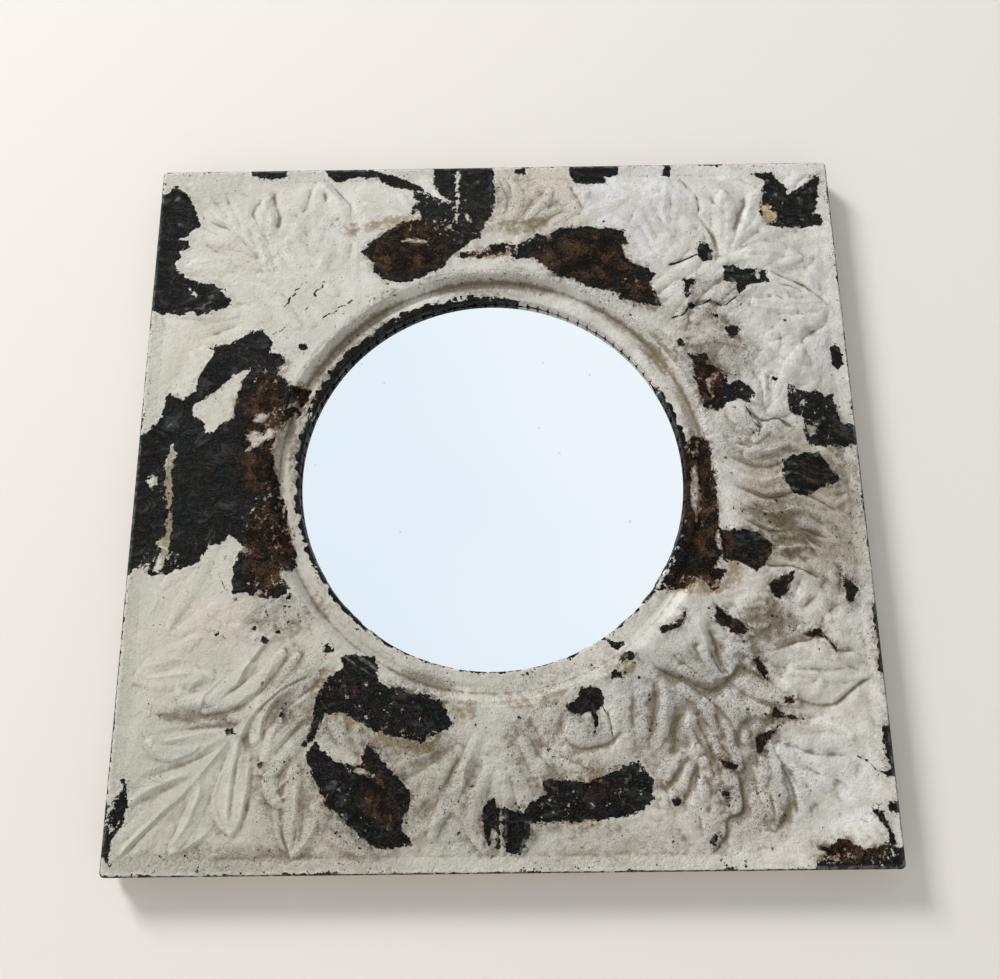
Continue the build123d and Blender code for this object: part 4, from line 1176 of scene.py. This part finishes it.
def paint_material(flecks, rust, old_paint):
    """Cream paint chipped off a dark, rusting sheet, with painted shade in its hollows and painted
    highlights on its ridges.
    """
    made, tree = new_material("painted_tin")
    place = millimetres(tree)
    bare, grime, hollow, crease, rusted, stain = (
        stored(tree, name) for name in ("bare", "grime", "hollow", "crease", "rust", "stain"))
    wide, close, fine = (cloud(tree, place, scale, detail)
                         for scale, detail in ((0.05, 4), (0.22, 5), (1.1, 3)))
    shards = put(tree, "ShaderNodeTexVoronoi", {"Vector": place, "Scale": 0.26}).outputs["Color"]
    shards = put(tree, "ShaderNodeSeparateColor", {0: shards}).outputs[0]
    # edge of the loss, ragged at four sizes
    ragged = total(tree, bare, swing(tree, wide, 4.0), swing(tree, close, 6.5),
                   swing(tree, fine, 2.0), swing(tree, shards, 2.0))
    gone = rise(tree, ragged, -0.3, 0.3, 1.0, 0.0)
    # chips out in the cream, and open cracks
    amount = total(tree, 0.006, product(tree, grime, 0.22), rise(tree, ragged, 0.8, 7.0, 0.2, 0.0))
    amount = product(tree, amount, rise(tree, wide, 0.42, 0.6, 0.05, 1.3))
    small, tiny = (use(tree, flecks, {"Place": place, "Size": size, "Amount": amount})["Mask"]
                   for size in (3.6, 1.5))
    small = product(tree, small, rise(tree, wide, 0.46, 0.56))
    parted = total(tree, swing(tree, close, 3.4), stored(tree, "crack"))
    parted = rise(tree, parted, 0.35, 0.65, 0.95, 0.0)
    gone = maths(tree, "MAXIMUM", gone, small, tiny, parted)
    # scraps left on the dark sheet
    scraps = total(tree, cloud(tree, place, 0.17, 8, 0.72),
                   product(tree, stored(tree, "scraps"), 0.17),
                   rise(tree, ragged, -4.0, -0.5, 0.0, 0.05))
    gone = product(tree, gone, less(tree, 1.0, rise(tree, scraps, 0.7, 0.715)))
    left = less(tree, 1.0, gone)
    rusty = rise(tree, total(tree, rusted, swing(tree, close, 1.8)), 0.25, 0.7)

    # cream: painted shade and dirt in hollows, painted highlights on ridges, and lighter near the
    # edges of the losses
    aged = use(tree, old_paint, {
        "Place": place, "Grime": grime, "Hollow": hollow, "Fold": crease,
        "Valley": stored(tree, "valley"), "Colour": stored(tree, "cream", "Color"),
        "Worn": srgb(178, 174, 163), "Warm": srgb(199, 193, 178), "Crease": srgb(108, 98, 82),
        "Ridge": srgb(234, 232, 226), "Dirt": srgb(118, 107, 90)})
    cream = mixed(tree, rise(tree, ragged, 0.2, 4.0, 0.22, 0.0), aged["Colour"],
                  srgb(226, 222, 212))
    broken = total(tree, swing(tree, close, 2.4), swing(tree, wide, 1.6),
                   product(tree, crease, 1.5))
    for blotch, tint in ((stain, srgb(124, 104, 72)), (stored(tree, "olive"), srgb(116, 107, 82))):
        soiled = product(tree, rise(tree, total(tree, blotch, broken), 0.3, 1.1, 0.0, 0.68),
                         rise(tree, blotch, 0.0, 0.3))
        cream = mixed(tree, soiled, cream, tint)
    sooty = product(tree, rise(tree, ragged, 0.0, 10.0, 0.95, 0.0),
                    rise(tree, close, 0.42, 0.62, 0.1, 1.0),
                    rise(tree, maths(tree, "MAXIMUM", rusted, grime), 0.05, 0.6, 0.25, 1.0))
    burnt = product(tree, rise(tree, ragged, 0.1, 1.6, 0.7, 0.0), rusted)
    ochre = product(tree, rise(tree, ragged, 1.0, 12.0, 1.0, 0.0), rise(tree, stain, 0.1, 0.7),
                    rise(tree, fine, 0.44, 0.56), rise(tree, close, 0.42, 0.56, 0.0, 0.8))
    cream = layered(tree, cream, (sooty, srgb(98, 86, 70)), (burnt, srgb(122, 80, 52)),
                    (ochre, srgb(178, 156, 120)))

    # dark sheet: old blue-black paint, with painted highlights on its ridges and wrinkles, and rust
    drawn = vector(tree, "MULTIPLY", {0: place, 1: (0.6, 1.0, 1.0)})
    wrinkles = cloud(tree, drawn, 0.09, 7, 0.66, 1.4)
    # painted glints along the sharp crests
    crest_glints = product(tree, rise(tree, crease, -0.14, -0.03, 0.55, 0.0),
                     rise(tree, close, 0.44, 0.56))
    crust = use(tree, rust, {"Place": place, "Dark": srgb(19, 16, 13), "Bright": srgb(98, 72, 53)})
    specks = product(tree, rise(tree, cloud(tree, place, 0.7, 5, 0.7), 0.57, 0.66, 0.0, 0.5),
                     rise(tree, rusty, 0.0, 1.0, 0.35, 1.0))
    dark = mixed(tree, rise(tree, wide, 0.42, 0.6), srgb(14, 13, 12), srgb(8, 14, 19))
    dark = layered(
        tree, dark,
        (rise(tree, close, 0.48, 0.72, 0.0, 0.5), srgb(36, 35, 31)),
        # painted highlights on the ridges
        (rise(tree, hollow, -0.8, -0.1, 0.3, 0.0), srgb(78, 80, 78)),
        # painted sheen on the wrinkles' raised tops
        (rise(tree, wrinkles, 0.52, 0.66, 0.0, 0.6), srgb(66, 68, 68)),
        # painted glints
        (crest_glints, srgb(122, 124, 120)),
        (rise(tree, fine, 0.54, 0.68, 0.0, 0.5), srgb(92, 86, 74)),
        (rusty, crust["Colour"]), (specks, srgb(112, 98, 80)))

    dark_rough = between(tree, rusty, rise(tree, wide, 0.4, 0.6, 0.26, 0.5), 0.8)
    roughness = between(tree, gone, between(tree, aged["Dirty"], 0.5, 0.8), dark_rough)
    film = product(tree, left, total(tree, aged["Height"], PAINT_FILM))
    sheet = total(tree, product(tree, wrinkles, 7.0), product(tree, close, 0.5),
                  product(tree, crust["Height"], rusty))
    surface(tree, {"Base Color": mixed(tree, gone, cream, dark), "Roughness": roughness,
                   "Specular IOR Level": 0.06}, total(tree, film, product(tree, sheet, gone)))
    return made


def mirror_material(flecks):
    """Silvered glass, a little hazy."""
    made, tree = new_material("mirror")
    place = millimetres(tree)
    haze = rise(tree, cloud(tree, place, 0.02, 3), 0.4, 0.7, 0.0, 0.03)
    dust = use(tree, flecks, {"Place": place, "Size": 4.0, "Amount": 0.003})["Mask"]
    colour = mixed(tree, product(tree, dust, 0.35), srgb(247, 250, 252), srgb(150, 150, 146))
    surface(tree, {"Base Color": colour, "Metallic": 1.0, "Roughness": haze})
    return made


def make_pine_grain():
    """Flat-sawn pine: growth rings stretched along Z, fine pores, and its colour."""
    tree, given, result = new_group("pine_grain", {"Vector": ["Place"], "Color": ["Pale", "Late"]},
                                    {"Color": ["Colour"], "Float": ["Height"]})
    squeezed = put(tree, "ShaderNodeMapping",
                   {"Vector": given["Place"], "Scale": (1.0, 1.0, 0.045)}).outputs[0]
    rings = put(tree, "ShaderNodeTexWave",
                {"Vector": squeezed, "Scale": 0.11, "Distortion": 7.0, "Detail": 3.0,
                 "Detail Scale": 0.6, "Detail Roughness": 0.6}, bands_direction="X").outputs["Fac"]
    pores = cloud(tree, squeezed, 1.6, 3, 0.7)
    late = rise(tree, rings, 0.45, 0.95)
    aged = cloud(tree, given["Place"], 0.012, 3)
    colour = layered(tree, given["Pale"], (late, given["Late"]),
                     (rise(tree, pores, 0.5, 0.75, 0.0, 0.45), srgb(128, 92, 56)),
                     (rise(tree, aged, 0.4, 0.7, 0.0, 0.35), srgb(140, 108, 74)))
    height = less(tree, product(tree, late, 0.10), product(tree, pores, 0.16))
    join(tree, result, {"Colour": colour, "Height": height})
    return tree


def pine_material(name, grain, turned):
    """Bare pine with its grain along Z, or along X where it is turned."""
    made, tree = new_material(name)
    turn = (0.0, math.radians(90), 0.0) if turned else (0.0, 0.0, 0.0)
    place = put(tree, "ShaderNodeMapping",
                {"Vector": millimetres(tree), "Rotation": turn}).outputs[0]
    wood = use(tree, grain, {"Place": place, "Pale": srgb(212, 178, 130),
                             "Late": srgb(176, 128, 78)})
    surface(tree, {"Base Color": wood["Colour"], "Roughness": 0.62}, wood["Height"])
    return made


def hardboard_material(flecks):
    """The rough face of hardboard: a pressed mesh over brown fibre."""
    made, tree = new_material("hardboard")
    place = millimetres(tree)
    across, _, up = put(tree, "ShaderNodeSeparateXYZ", {0: place}).outputs
    wires = [put(tree, "ShaderNodeMath", {0: product(tree, way, 2.6)}, operation="SINE").outputs[0]
             for way in (across, up)]
    fibre = cloud(tree, place, 0.5, 5, 0.7)
    mottle = cloud(tree, place, 0.015, 4)
    chaff = use(tree, flecks, {"Place": place, "Size": 3.0, "Amount": 0.16})["Mask"]
    colour = layered(tree, srgb(98, 68, 46), (rise(tree, fibre, 0.35, 0.65), srgb(134, 98, 68)),
                     (rise(tree, mottle, 0.4, 0.65, 0.0, 0.4), srgb(84, 60, 44)),
                     (product(tree, chaff, 0.5), srgb(172, 138, 100)))
    height = total(tree, product(tree, *wires, 0.12), product(tree, fibre, 0.22))
    surface(tree, {"Base Color": colour, "Roughness": rise(tree, fibre, 0.3, 0.7, 0.6, 0.85)},
            height)
    return made


def felt_material():
    """Dark grey felt with a loose nap."""
    made, tree = new_material("felt")
    nap = cloud(tree, millimetres(tree), 1.8, 4, 0.8, 1.2)
    colour = mixed(tree, rise(tree, nap, 0.35, 0.7), srgb(44, 43, 42), srgb(84, 82, 79))
    surface(tree, {"Base Color": colour, "Roughness": 0.95, "Sheen Weight": 0.3}, nap)
    return made


def metal_material(name, flecks, rust, bright, dull, rusting):
    """Small metal hardware, dulled, with some rust starting."""
    made, tree = new_material(name)
    place = millimetres(tree)
    cast = cloud(tree, place, 0.9, 4, 0.6)
    crust = use(tree, rust, {"Place": place, "Dark": srgb(52, 36, 28), "Bright": srgb(112, 68, 40)})
    spots = use(tree, flecks, {"Place": place, "Size": 1.2, "Amount": rusting})["Mask"]
    spread = rise(tree, cloud(tree, place, 0.5, 4), 0.75 - 0.35 * rusting, 0.85 - 0.3 * rusting)
    eaten = maths(tree, "MAXIMUM", spots, spread)
    colour = layered(tree, bright, (rise(tree, cast, 0.4, 0.65), dull), (eaten, crust["Colour"]))
    height = total(tree, product(tree, cast, 0.03), product(tree, crust["Height"], eaten, 0.5))
    surface(tree, {"Base Color": colour, "Metallic": less(tree, 1.0, eaten),
                   "Roughness": between(tree, eaten, 0.38, 0.85)}, height)
    return made


# ------------------------------------------------------------------ repeated small pieces
def varied(tree, low, high, seed):
    """A random vector between two others."""
    inputs = {"Min": low, "Max": high, "Seed": seed}
    return put(tree, "FunctionNodeRandomValue", inputs, data_type="FLOAT_VECTOR").outputs["Value"]


def finish_tree(tree, shapes, given, result):
    """Turn instances into a plain mesh with the given material."""
    real = put(tree, "GeometryNodeRealizeInstances", {"Geometry": shapes}).outputs[0]
    coated = put(tree, "GeometryNodeSetMaterial", {"Geometry": real, "Material": given["Material"]})
    join(tree, result, {"Geometry": coated.outputs[0]})


def make_fastener_tree():
    """One shape set on each seat, facing its way and turned at random."""
    tree, given, result = new_group(
        "fasteners",
        {"Geometry": ["Geometry"], "Object": ["Shape"], "Float": ["Turn"], "Int": ["Seed"],
         "Material": ["Material"]}, {"Geometry": ["Geometry"]}, "GeometryNodeTree")
    facing = put(tree, "GeometryNodeInputNamedAttribute", {"Name": "facing"},
                 data_type="FLOAT_VECTOR").outputs[0]
    aligned = put(tree, "FunctionNodeAlignRotationToVector", {"Vector": facing}, axis="Z")
    shape = put(tree, "GeometryNodeObjectInfo", {"Object": given["Shape"]}).outputs["Geometry"]
    set_on = put(tree, "GeometryNodeInstanceOnPoints",
                 {"Points": given["Geometry"], "Instance": shape,
                  "Rotation": aligned.outputs[0]}).outputs[0]
    least, most = (
        put(tree, "ShaderNodeCombineXYZ", {"Z": product(tree, given["Turn"], sign)}).outputs[0]
        for sign in (-1.0, 1.0))
    turned = put(tree, "GeometryNodeRotateInstances",
                 {"Instances": set_on, "Rotation": varied(tree, least, most, given["Seed"])})
    finish_tree(tree, turned.outputs[0], given, result)
    return tree


def make_tab_tree():
    """A ring of tabs that hang from the opening's lip, each bent and cut a little otherwise."""
    tree, given, result = new_group(
        "tab_ring",
        {"Geometry": ["Geometry"], "Int": ["Count", "Seed"], "Vector": ["Centre"],
         "Float": ["Radius", "Lean", "Shortest"], "Material": ["Material"]},
        {"Geometry": ["Geometry"]}, "GeometryNodeTree")
    ring = put(tree, "GeometryNodeMeshCircle",
               {"Vertices": given["Count"], "Radius": given["Radius"]}).outputs[0]
    number = put(tree, "GeometryNodeInputIndex").outputs[0]
    angle = product(tree, maths(tree, "DIVIDE", number, given["Count"]), 2 * math.pi)
    about = put(tree, "ShaderNodeCombineXYZ", {"Z": angle}).outputs[0]
    smallest = put(tree, "ShaderNodeCombineXYZ", {"X": 1.0, "Y": 0.94, "Z": given["Shortest"]})
    size = varied(tree, smallest.outputs[0], (1.0, 1.04, 1.0), given["Seed"])
    hung = put(tree, "GeometryNodeInstanceOnPoints",
               {"Points": ring, "Instance": given["Geometry"], "Rotation": about, "Scale": size})
    most = put(tree, "ShaderNodeCombineXYZ", {"Y": given["Lean"], "Z": 0.03}).outputs[0]
    leant = put(tree, "GeometryNodeRotateInstances",
                {"Instances": hung.outputs[0],
                 "Rotation": varied(tree, (0.0, 0.0, -0.03), most, given["Seed"])}).outputs[0]
    stood = put(tree, "GeometryNodeTransform",
                {"Geometry": leant, "Translation": given["Centre"],
                 "Rotation": (math.radians(90), 0.0, 0.0)}).outputs[0]
    finish_tree(tree, stood, given, result)
    return tree


def evaluated_mesh(holder):
    """The plain mesh that an object's modifiers make."""
    bpy.context.view_layer.update()
    graph = bpy.context.evaluated_depsgraph_get()
    return bpy.data.meshes.new_from_object(holder.evaluated_get(graph), depsgraph=graph)


def grown(mesh, tree, values):
    """The plain mesh that a geometry tree makes from a mesh, with its inputs set by name."""
    holder = linked("holder", mesh)
    modifier = holder.modifiers.new("tree", "NODES")
    modifier.node_group = tree
    for item in tree.interface.items_tree:
        if item.in_out == "INPUT" and item.name in values:
            modifier[item.identifier] = values[item.name]
    made = evaluated_mesh(holder)
    bpy.data.objects.remove(holder)
    return made


def as_mesh(name, shape):
    """A mesh of a finished BMesh."""
    mesh = bpy.data.meshes.new(name)
    shape.to_mesh(mesh)
    shape.free()
    return mesh


def turned_shape(name, profile, sides):
    """A closed shape turned about Z, from radii and heights that run from the top outwards."""
    shape = bmesh.new()
    rings = []
    for radius, height in profile:
        turns = [2 * math.pi * side / sides for side in range(sides if radius else 1)]
        rings.append([shape.verts.new((radius * MM * math.cos(turn), radius * MM * math.sin(turn),
                                       height * MM)) for turn in turns])
    for upper, lower in zip(rings, rings[1:]):
        for side in range(sides):
            after = (side + 1) % sides
            corners = [lower[side % len(lower)], lower[after % len(lower)],
                       upper[after % len(upper)], upper[side % len(upper)]]
            shape.faces.new(list(dict.fromkeys(corners)))
    bmesh.ops.recalc_face_normals(shape, faces=shape.faces)
    mesh = as_mesh(name, shape)
    mesh.polygons.foreach_set("use_smooth", [True] * len(mesh.polygons))
    mesh.set_sharp_from_angle(angle=math.radians(40))
    return mesh


def slotted_head(name, radius, height):
    """A round screw head with a slot across it."""
    dome = [(radius * out, height * up) for out, up in SCREW_DOME]
    head = linked(name, turned_shape(name, dome, 32))
    cutter = bmesh.new()
    bmesh.ops.create_cube(cutter, size=1.0, matrix=Matrix.Translation(
        (0, 0, height * MM)) @ Matrix.Diagonal(
            (3 * radius * MM, SLOT_WIDTH * MM, 2 * SLOT_DEPTH * MM, 1)))
    cut = head.modifiers.new("slot", "BOOLEAN")
    cut.operation = "DIFFERENCE"
    cut.object = linked("slot", as_mesh("slot", cutter))
    made = evaluated_mesh(head)
    for used in (cut.object, head):
        bpy.data.objects.remove(used)
    return made


def fasteners(name, shape, seats, material, stands_for):
    """A piece of one shape at many seats, given as places and the ways they face."""
    mesh = bpy.data.meshes.new(name)
    mesh.from_pydata([place for place, _ in seats], [], [])
    layer = mesh.attributes.new("facing", "FLOAT_VECTOR", "POINT")
    layer.data.foreach_set("vector", np.array([way for _, way in seats], float).ravel())
    shape_object = linked(shape.name + "_shape", shape)
    made = grown(mesh, fastener_tree, {"Shape": shape_object, "Turn": math.pi,
                                       "Seed": len(seats), "Material": material})
    bpy.data.objects.remove(shape_object)
    made.name = name
    piece(name, made, stands_for)


def tab_mesh():
    """One tab: a small plate that hangs from its root, with its lower corners cut back."""
    width = 2 * math.pi * OPENING_RADIUS / TAB_COUNT - SNIP_WIDTH
    drop = TAB_ROOT - TAB_END
    shape = bmesh.new()
    faces = []
    for depth in (0.0, TIN):
        corners = [shape.verts.new((depth * MM, across * width * MM, down * drop * MM))
                   for across, down in TAB_OUTLINE]
        faces.append(shape.faces.new(corners))
    front, back = (face.verts[:] for face in faces)
    for number, corner in enumerate(front):
        after = (number + 1) % len(front)
        shape.faces.new([corner, front[after], back[after], back[number]])
    bmesh.ops.recalc_face_normals(shape, faces=shape.faces)
    return as_mesh("tab", shape)


# ------------------------------------------------------------------ camera, light and stage
CAMERA_PLACE = (0.00704, -0.79437, 0.07812)
CAMERA_TURN = (105.7416, 0.6501, 0.5344)
SENSOR, LENS = 36.0, 35.46
AMBIENT = 0.5
KEY_PLACE, KEY_TARGET, KEY_SIZE, KEY_POWER = (-3.0, -2.6, 3.8), (0, 0, 0.3), 1.4, 270.0
ROOM, FLOOR_Z, WALL_GAP = 5.0, -0.75, 0.0004


def set_camera():
    """The camera, below the mirror's middle and looking up at it."""
    lens = bpy.data.cameras.new("camera")
    lens.sensor_width = SENSOR
    lens.lens = LENS
    camera = linked("camera", lens)
    camera.location = CAMERA_PLACE
    camera.rotation_euler = [math.radians(turn) for turn in CAMERA_TURN]
    bpy.context.scene.camera = camera


def set_world():
    """Even light from all round, and a pale sky for what the glass shows."""
    world = bpy.data.worlds.new("room")
    world.use_nodes = True
    tree = world.node_tree
    tree.nodes.clear()
    path = put(tree, "ShaderNodeLightPath").outputs
    seen = maths(tree, "MAXIMUM", path["Is Camera Ray"], path["Is Glossy Ray"],
                 path["Is Transmission Ray"])
    ambient = put(tree, "ShaderNodeBackground",
                  {"Color": (0.96, 0.98, 1.0, 1), "Strength": AMBIENT})
    toward = put(tree, "ShaderNodeTexCoord").outputs["Generated"]
    haze = rise(tree, cloud(tree, toward, 1.3, 3), 0.35, 0.65)
    sky_colour = mixed(tree, haze, srgb(232, 241, 250), srgb(246, 251, 255))
    sky = put(tree, "ShaderNodeBackground", {"Color": sky_colour, "Strength": 1.0})
    both = put(tree, "ShaderNodeMixShader", {0: seen, 1: ambient.outputs[0], 2: sky.outputs[0]})
    put(tree, "ShaderNodeOutputWorld", {"Surface": both.outputs[0]})
    bpy.context.scene.world = world


def set_lamp():
    """The key lamp, a square soft one."""
    light = bpy.data.lights.new("key_lamp", "AREA")
    light.size = KEY_SIZE
    light.energy = KEY_POWER
    lamp = linked("key_lamp", light)
    lamp.location = KEY_PLACE
    aim = Vector(KEY_TARGET) - Vector(KEY_PLACE)
    lamp.rotation_euler = aim.to_track_quat("-Z", "Y").to_euler()


def stage_plane(name, corners, colour, see_through):
    """A flat backdrop; a see-through one shows to the camera from its front alone."""
    mesh = bpy.data.meshes.new(name)
    mesh.from_pydata(corners, [], [(0, 1, 2, 3)])
    made, tree = new_material(name)
    matt = put(tree, "ShaderNodeBsdfDiffuse", {"Color": colour}).outputs[0]
    if see_through:
        path = put(tree, "ShaderNodeLightPath").outputs
        behind = put(tree, "ShaderNodeNewGeometry").outputs["Backfacing"]
        shown = product(tree, path["Is Camera Ray"], less(tree, 1.0, behind))
        clear = put(tree, "ShaderNodeBsdfTransparent").outputs[0]
        matt = put(tree, "ShaderNodeMixShader", {0: shown, 1: clear, 2: matt}).outputs[0]
    put(tree, "ShaderNodeOutputMaterial", {"Surface": matt})
    mesh.materials.append(made)
    linked(name, mesh)


bpy.context.scene.view_settings.view_transform = "Standard"
set_camera()
set_world()
set_lamp()
wall_y = float(cad_box[1][1]) + WALL_GAP
stage_plane("wall", [(-ROOM, wall_y, FLOOR_Z), (ROOM, wall_y, FLOOR_Z), (ROOM, wall_y, ROOM),
                     (-ROOM, wall_y, ROOM)], srgb(226, 222, 216), True)
stage_plane("floor", [(-ROOM, -ROOM, FLOOR_Z), (ROOM, -ROOM, FLOOR_Z), (ROOM, ROOM, FLOOR_Z),
                      (-ROOM, ROOM, FLOOR_Z)], srgb(226, 223, 218), False)

# ------------------------------------------------------------------ the tin
flecks_group = make_flecks()
rust_group = make_rust()
painted_tin = paint_material(flecks_group, rust_group, make_old_paint())

grid_x, grid_y, grid_height, moulding_rows = sheet_grid()
grid_points = in_row(grid_x, grid_y, grid_height)
grid_values = paint_state(grid_x, grid_y, grid_height)
for name, passes in HOLLOWNESS.items():
    grid_values[name] = hollowness(grid_height, passes)
    grid_values[name][:moulding_rows] *= MOULDING_SHADE_AND_DIRT
down_rows = np.gradient(grid_points, axis=0)
round_columns = np.roll(grid_points, -1, axis=1) - np.roll(grid_points, 1, axis=1)
grid_normals = np.cross(down_rows, round_columns)
grid_normals /= np.linalg.norm(grid_normals, axis=-1, keepdims=True)

whole_turn = np.arange(COLUMNS + 1) % COLUMNS
quarter = COLUMNS // 4
for name, rows, columns in [("tin_moulding", slice(0, moulding_rows), whole_turn)] + [
    (f"tin_field_{side}", slice(moulding_rows - 1, None),
     whole_turn[number * quarter:(number + 1) * quarter + 1])
    for number, side in enumerate(("right", "top", "left", "bottom"))
]:
    mesh = grid_mesh(name, grid_points[rows, columns], grid_normals[rows, columns])
    give(mesh, {key: value[rows, columns] for key, value in grid_values.items()})
    mesh.materials.append(painted_tin)
    piece(name, mesh, ["tin_panel"])

# ------------------------------------------------------------------ tabs inside the opening
fastener_tree = make_fastener_tree()
tabs = grown(tab_mesh(), make_tab_tree(), {
    "Count": TAB_COUNT, "Radius": OPENING_RADIUS * MM, "Lean": 0.16, "Shortest": 0.72,
    "Seed": 5, "Centre": in_row(RING_X, RING_Y, TAB_ROOT).tolist(), "Material": painted_tin,
})
places = np.zeros(len(tabs.vertices) * 3)
tabs.vertices.foreach_get("co", places)
tab_x, tab_y, tab_z = places.reshape(-1, 3).T / MM
tab_values = paint_state(tab_x, tab_z - PANEL_MIDDLE, BORDER_FRONT - tab_y)
give(tabs, {**tab_values, **{name: 0 * tab_x for name in HOLLOWNESS}})
piece("tin_tabs", tabs, ["tin_panel"])

# ------------------------------------------------------------------ hardware and felt pads
brass, zinc, nail_steel = (
    metal_material(name, flecks_group, rust_group, srgb(*bright), srgb(*dull), rusting)
    for name, bright, dull, rusting in (
        ("screw_brass", (196, 164, 96), (140, 112, 62), 0.06),
        ("hanger_steel", (190, 192, 194), (146, 149, 152), 0.05),
        ("nail_steel", (104, 98, 92), (70, 64, 60), 0.75)))

nail_seats = []
for along_side in NAIL_PLACES:
    for sign in (-1, 1):
        nail_seats += [
            (in_row(sign * HALF, along_side, -NAIL_DEPTH), (sign, 0, 0)),
            (in_row(along_side, sign * HALF, -NAIL_DEPTH), (0, 0, sign)),
        ]
fasteners("flange_nail_heads", turned_shape("nail_head", NAIL_HEAD, 18), nail_seats, nail_steel,
          ["flange_nails_left", "flange_nails_right", "flange_nails_bottom",
                         "flange_nails_top"])

cover_seats = []
for place in COVER_SCREW_PLACES:
    for sign in (-1, 1):
        cover_seats += [(in_row(place, sign * COVER_SCREW_LINE, COVER_BACK), (0, 1, 0)),
                        (in_row(sign * COVER_SCREW_LINE, place, COVER_BACK), (0, 1, 0))]
fasteners("cover_screw_heads", slotted_head("cover_screw", 3.4, 2.2), cover_seats, brass,
          ["cover_screws"])

hanger_seats = [(in_row(sign * HANGER_X, HANGER_Y - drop, STRAP_BACK), (0, 1, 0))
                for sign in (-1, 1) for drop in HANGER_SCREW_DROPS]
fasteners("hanger_screw_heads", slotted_head("hanger_screw", 2.9, 1.6), hanger_seats, brass,
          ["hanger_screws_left", "hanger_screws_right"])

pad_seats = [(in_row(sign_x * HANGER_X, sign_y * PAD_Y, RAIL_BACK), (0, 1, 0))
             for sign_x in (-1, 1) for sign_y in (-1, 1)]
fasteners("felt_pads_soft", turned_shape("pad", PAD, 40), pad_seats, felt_material(),
          ["felt_pads"])

# ------------------------------------------------------------------ what the CAD nodes wear
pine_grain = make_pine_grain()
hardboard = hardboard_material(flecks_group)
pine_upright = pine_material("pine_upright", pine_grain, False)
pine_across = pine_material("pine_across", pine_grain, True)
WORN_BY = [
    (mirror_material(flecks_group), ("mirror_glass",)),
    (hardboard, ("mirror_backer", "glass_blocks", "dust_cover")),
    (zinc, ("hanger_strap", "hanger_ring")),
    (nail_steel, ("corner_nails", "batten_nails", "backer_pins")),
    (pine_upright, ("rail_left", "rail_right", "batten_left", "batten_right")),
    (pine_across, ("rail_top", "rail_bottom", "corner_block")),
]
for finish, starts in WORN_BY:
    for name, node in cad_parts.items():
        if name.startswith(starts):
            node.data.materials.clear()
            node.data.materials.append(finish)
